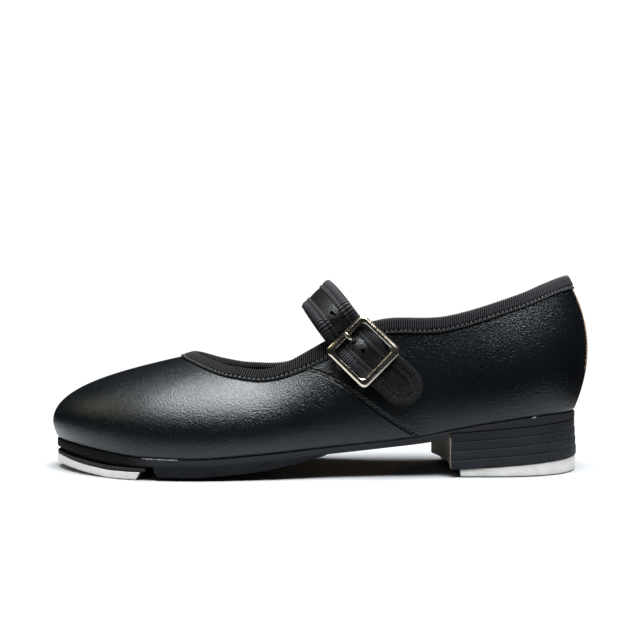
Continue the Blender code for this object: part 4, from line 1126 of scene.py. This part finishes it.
def make_strap():
    """The strap's leather, with creases in its tail, and its holes and the prong's slot cut out."""
    half, tip = STRAP_WIDTH / 2 - 0.35, STRAP_TAIL - 0.35
    s = np.concatenate([np.arange(route.root, tip - half - 0.2, 0.6),
                        tip - half * (1 - np.sin(np.linspace(0.02, 1.45, 24)))])
    reach = half * np.sqrt(1 - np.clip((s - tip + half) / half, 0, 1)**2)
    w = reach[:, None] * np.linspace(-1, 1, 29)
    rows = np.broadcast_to(s[:, None], w.shape)
    crease = 0.13 * fade(rows, 11, 15) * (np.sin(rows * 0.9 + w * 1.1 + 0.8 * np.sin(rows * 0.6))
                                         + 0.5 * np.sin(rows * 0.5 - w * 1.7))
    puff = (0.25 + 0.5 * np.exp(-((rows + 3.6) / 2.2)**2)) * (1 - (w / 3.6)**2).clip(0, 1)
    top = strap_point(rows, w, STRAP_LEATHER / 2 + crease + puff)
    made = sheet_piece("strap_centre", top, strap_point(rows, w, -STRAP_LEATHER / 2), "strap", None,
                       "upper_leather", stands_for=["strap_leather"])
    cos, sin = circle(24)
    tools = [through_strap(s + HOLE * cos, HOLE * sin, -2.5, 2.5) for s in HOLES]
    tools.append(through_strap((-7.2, -4.5, -4.5, -7.2), (-0.95, -0.95, 0.95, 0.95), -2.5, 2.5))
    cut(made, *(solid("hole", rings, tube_faces(2, len(rings[0]), False)) for rings in tools))
    smooth(made.data)
    bend(made)


def through_strap(s, w, low, high):
    """Two rings of one outline, below and above the strap's middle."""
    return [route.point(s, w, h) for h in (low, high)]


def make_hole_shades():
    """Dark discs inside the strap's holes: painted shade, so that the holes look dark."""
    cos, sin = circle(16)
    for n, s in enumerate(HOLES):
        rings = through_strap(s + HOLE_SHADE * cos, HOLE_SHADE * sin, -0.4, -0.25)
        tube_piece(f"hole_shade_{n + 1}", rings, "thread", "strap", "grosgrain_tape")


def make_glue():
    """Specks of dried cement in the joint between the upper and the outsole."""
    side = outline(-0.2)[0]
    for name, first, end in (("glue_line_front", -77, -61), ("glue_speck_heel", 93.6, 95.4)):
        x = np.linspace(first, end, 60)
        line = np.column_stack([x, np.interp(x, side[:, 0], side[:, 1]), sole_top(x) + 0.1])
        radius = 0.1 + 0.2 * abs(np.sin(x * 1.7) * np.sin(x * 0.63 + 1)) + 0.1 * (end - first < 3)
        bead(name, line, np.array([0, 1.0, 0]), np.array([0, 0, 1.0]), radius, "glue", "sole_rubber")


def make_strap_tape():
    s, w, ns, nw = strap_path(STRAP_WIDTH / 2, STRAP_TAIL, STRAP_RIB / 6)
    run = run_of(np.column_stack([s, w]))
    wave, pits = crests(run / STRAP_RIB, 0.8), crests(run / STRAP_STITCH, 7)
    top, low = STRAP_LEATHER / 2, -STRAP_LEATHER / 2
    # distance in from the strap's edge, height over its middle, and how much a rib lifts it
    profile = [(5.6, top + 0.03, 0), (5.62, top + 0.20, .5), (5.35, top + 0.34, 1), (4.6, top + 0.38, 1),
               (4.2, top + 0.28, .7), (3.85, top + 0.2, .6), (3.5, top + 0.2, .6), (3.1, top + 0.32, .7),
               (2.6, top + 0.42, 1), (1.6, top + 0.50, 1), (0.7, top + 0.48, 1), (0.2, top + 0.30, 1),
               (0.0, top - 0.05, 1), (-0.04, 0, 1), (0.0, low + 0.05, 1), (0.2, low - 0.3, 1),
               (0.7, low - 0.42, 1), (2.5, low - 0.42, 1), (4.2, low - 0.35, .6), (4.4, low - 0.2, 0),
               (4.4, low - 0.03, 0), (0.4, low - 0.02, 0), (0.33, 0, 0), (0.4, top + 0.02, 0)]
    rings = np.empty((len(s), len(profile), 3))
    for k, (inward, h, share) in enumerate(profile):
        lift = STRAP_RIB_LIFT * share * wave
        up = lift * np.sign(h) if abs(h) > 0.65 else 0
        into = inward - (lift if abs(h) <= 0.95 and inward < 0.3 else 0)
        sunk = 0.18 * pits if h > 0.7 and 3.2 < inward < 4 else 0
        rings[:, k] = strap_point(s - ns * into, w - nw * into, h + up - sunk)
    near = np.array([1 if h > 0.7 and 3.4 < inward < 4 else 0 for inward, h, _ in profile])
    # painted shade: the tape darkens in its rib valleys and needle holes, and 40 % more on the tail past the
    # buckle
    crest = (wave * (1 - 0.4 * fade(s, 10, 15)))[:, None] * (1 - NEEDLE_HOLE_SHADE * pits[:, None] * near)
    tube_piece("strap_tape", rings, "tape", "strap", "grosgrain_tape", stands_for=["strap_binding"],
               blended=True, crest=crest)
    keep = s > route.root + 6
    s, w = (s - ns * STRAP_SEAM)[keep], (w - nw * STRAP_SEAM)[keep]
    stitches("strap_thread", strap_point(s, w, top + 0.16), route.frame(s)[2], "thread", "strap",
             "grosgrain_tape", pitch=STRAP_STITCH, blended=True)


# ---------------------------------------------------------------- the buckle

def rounded(long, wide, radius, corner=14):
    """The outline of a rectangle with rounded corners."""
    points = []
    for k, (sx, sy) in enumerate(((1, 1), (-1, 1), (-1, -1), (1, -1))):
        for j in range(corner + 1):
            a = math.pi / 2 * (k + j / corner)
            points.append((sx * (long / 2 - radius) + radius * math.cos(a),
                           sy * (wide / 2 - radius) + radius * math.sin(a)))
    return np.array(points)


def make_buckle():
    """A rounded wire frame with a bevelled inner face, its lugs and its centre bar."""
    # share of the bar's width from the outside, height above the frame's underside
    section = [(0.20, 0.0), (0.06, 0.08), (0.0, 0.3), (0.0, 0.78), (0.02, 0.9), (0.07, 1.02), (0.36, 1.60),
               (0.42, 1.68), (0.48, 1.71), (0.80, 1.78), (0.86, 1.76), (0.91, 1.68), (1.0, 1.45),
               (1.0, 0.3), (0.94, 0.08), (0.80, 0.0)]
    outer = rounded(FRAME_LONG, FRAME_WIDE, 2.6)
    inner = rounded(FRAME_LONG - 2 * FRAME_END - 0.8, FRAME_WIDE - 2 * FRAME_SIDE - 0.4, 2.2)
    rings = []
    for o, i in zip(outer, inner):
        flat = [o + (i - o) * share for share, _ in section]
        rings.append([route.fixed(p[0], p[1], FRAME_LOW + h) for p, (_, h) in zip(flat, section)])
    tube_piece("buckle_rim", rings, "nickel", "buckle", "buckle_metal", closed=True, sharp=28,
               stands_for=["buckle_frame"])
    shape = rounded(2.6, 1.6, 0.45, 5)
    low = BAR_HEIGHT - BAR_RADIUS - 0.05
    levels = [(0.8, low), (0.96, low + 0.14), (1, low + 0.4), (1, FRAME_LOW + 0.3)]
    for name, side in (("inner", -1), ("outer", 1)):
        at = side * (FRAME_WIDE / 2 - FRAME_SIDE / 2 - 0.05)
        rings = [[route.fixed(p[0] * f, at + p[1] * f, h) for p in shape] for f, h in levels]
        tube_piece(f"buckle_lug_{name}", rings, "nickel", "buckle", "buckle_metal")
    cos, sin = circle(24)
    rings = [route.fixed(BAR_RADIUS * f * cos, w, BAR_HEIGHT + BAR_RADIUS * f * sin) for f, w in
             ((0.6, -BAR_REACH), (1, -BAR_REACH + 0.3), (1, BAR_REACH - 0.3), (0.6, BAR_REACH))]
    tube_piece("centre_bar", rings, "nickel", "buckle", "buckle_metal", stands_for=["buckle_bar"])


def make_prong():
    """The prong: a flat loop round the bar, and a tapered tongue that bends over the frame."""
    rings = []
    inner, thick = BAR_RADIUS + 0.12, 0.62
    section = [(0.1, -1), (0, -0.8), (0, 0.8), (0.1, 1), (0.85, 1), (1, 0.8), (1, -0.8), (0.85, -1)]
    for a in np.linspace(0, 2 * math.pi, 40, endpoint=False):
        rings.append([route.fixed((inner + thick * t) * math.cos(a), w,
                                  BAR_HEIGHT + (inner + thick * t) * math.sin(a)) for t, w in section])
    tube_piece("prong_loop", rings, "nickel", "prong", "buckle_metal", closed=True,
               stands_for=["buckle_prong"])
    spine = np.array([(-1.25, BAR_HEIGHT - 0.4), (-2.6, 1.55), (-3.9, 1.6), (-5.0, 2.4), (-5.9, 3.9),
                      (-6.8, 5.5), (-7.9, 6.8), (-9.4, 7.1), (-10.9, 6.95)])
    last_ring = 64
    at = catmull(spine, np.linspace(0, len(spine) - 1, last_ring + 1), False)
    step = np.gradient(at, axis=0)
    normal = unit(np.column_stack([-step[:, 1], step[:, 0]]))
    cos, sin = circle(20)
    rings = []
    for k, ((s, h), (ns, nh)) in enumerate(zip(at, normal)):
        taper = (1 - 0.25 * k / last_ring) * (1 - 0.5 * fade(k, last_ring - 3, last_ring)**2)
        rings.append(route.fixed(s + ns * 0.6 * taper * sin, taper * cos, h + nh * 0.6 * taper * sin))
    tube_piece("prong_tongue", rings, "nickel", "prong", "buckle_metal")


def make_chape():
    """The thin leather hairpin that holds the bar, slotted for the prong."""
    thick, half, legs = 0.5, 3.7, 12.0
    radius = BAR_RADIUS + GAP + thick / 2
    turn = [(-radius * math.sin(a), BAR_HEIGHT + radius * math.cos(a))
            for a in np.linspace(-0.35, math.pi + 0.1, 24)]
    centre = np.array([(legs, 1.42), (7.5, 1.42), (3.6, 1.9)] + turn
                      + [(3.6, 0.68), (7.5, 0.65), (legs, 0.65)])
    step = unit(np.gradient(centre, axis=0))
    section = [(0.5, -0.94), (0.3, -1), (-0.3, -1), (-0.5, -0.94), (-0.5, 0.94), (-0.3, 1), (0.3, 1),
               (0.5, 0.94)]
    rings = [[route.above(s - dh * n * thick, w * half, h + ds * n * thick) for n, w in section]
             for (s, h), (ds, dh) in zip(centre, step)]
    made = tube_piece("chape_leather", rings, "strap", "shoe", "upper_leather",
                      stands_for=["buckle_chape"])
    slot = [(-4, -1.35), (3.2, -1.35), (3.2, 1.35), (-4, 1.35)]
    ends = [[route.fixed(s, w, h) for s, w in slot] for h in (-1, 6)]
    cut(made, solid("slot", ends, tube_faces(2, 4, False)))


# ---------------------------------------------------------------- the hidden CAD nodes

def finish_cad_nodes():
    """Gives every CAD node that stays its own procedural finish."""
    hidden = {"toe_puff": "stiff", "heel_counter": "stiff", "insole_board": "fibre",
              "bottom_filler": "cork", "shank": "screw"}
    hidden.update({f"heel_nail_{n}": "screw" for n in (1, 2, 3, 4)})
    for name, finish in hidden.items():
        slots = frame["nodes"][name].data.materials
        slots.clear()
        slots.append(FINISHES[finish].material)


# ---------------------------------------------------------------- the set

def make_set():
    """The pale floor, the white world behind it, the lights and the camera."""
    scene = bpy.context.scene
    mesh = bpy.data.meshes.new("floor")
    (x0, y0), (x1, y1) = FLOOR
    mesh.from_pydata([(x0, y0, 0), (x1, y0, 0), (x1, y1, 0), (x0, y1, 0)], [], [(0, 1, 2, 3)])
    floor_finish = Finish("pale_floor", (0.435, 0.455, 0.475), 0.8, Specular_IOR_Level=0.2)
    floor_finish.rough(floor_finish.noise(300, 2), 0.75, 0.85)
    mesh.materials.append(floor_finish.material)
    floor = bpy.data.objects.new("floor", mesh)
    floor.location.z = -0.0002
    scene.collection.objects.link(floor)

    world = bpy.data.worlds.new("studio")
    scene.world = world
    world.use_nodes = True
    tree = world.node_tree
    lit = tree.nodes["Background"]
    lit.inputs["Color"].default_value = (0.9, 0.95, 1.0, 1)
    lit.inputs["Strength"].default_value = WORLD_LIGHT
    seen = tree.nodes.new("ShaderNodeBackground")
    seen.inputs["Color"].default_value = (1, 1, 1, 1)
    seen.inputs["Strength"].default_value = BACKDROP_LIGHT
    path = tree.nodes.new("ShaderNodeLightPath")
    mix = tree.nodes.new("ShaderNodeMixShader")
    tree.links.new(path.outputs["Is Camera Ray"], mix.inputs["Fac"])
    tree.links.new(lit.outputs[0], mix.inputs[1])
    tree.links.new(seen.outputs[0], mix.inputs[2])
    tree.links.new(mix.outputs[0], tree.nodes["World Output"].inputs["Surface"])

    target = Vector((0, 0, 0.03))
    for name, place, size, power, colour in LIGHTS:
        data = bpy.data.lights.new(name, "AREA")
        data.shape = "RECTANGLE"
        data.size, data.size_y = size
        data.energy = power
        data.color = colour
        lamp = bpy.data.objects.new(name, data)
        lamp.location = place
        lamp.rotation_euler = (target - Vector(place)).to_track_quat("-Z", "Y").to_euler()
        scene.collection.objects.link(lamp)
    sun = bpy.data.lights.new("sky_panel", "SUN")
    sun.energy, sun.angle = SUN
    lamp = bpy.data.objects.new("sky_panel", sun)
    lamp.rotation_euler = Vector(SUN_FROM).to_track_quat("Z", "Y").to_euler()
    scene.collection.objects.link(lamp)

    eye = bpy.data.objects.new("camera", bpy.data.cameras.new("camera"))
    eye.location = np.array(CAMERA) + SHIFT
    eye.rotation_euler = (math.pi / 2, 0, 0)
    eye.data.sensor_width = 36
    eye.data.lens = LENS
    eye.data.shift_y = CAMERA_SHIFT
    eye.data.clip_start = 0.01
    scene.collection.objects.link(eye)
    scene.camera = eye
    scene.view_settings.view_transform = "Standard"


def main():
    make_vamp()
    make_quarter("quarter_skin_outer", "quarter_lateral", 0)
    make_quarter("quarter_skin_inner", "quarter_medial", 1)
    seam_stitches()
    make_edge_highlight()
    make_linings()
    make_topline_binding()
    make_screws(make_sole(), make_heel())
    make_strap()
    make_strap_tape()
    make_strap_lining()
    make_hole_shades()
    make_glue()
    make_buckle()
    make_prong()
    make_chape()
    finish_cad_nodes()
    make_set()


main()
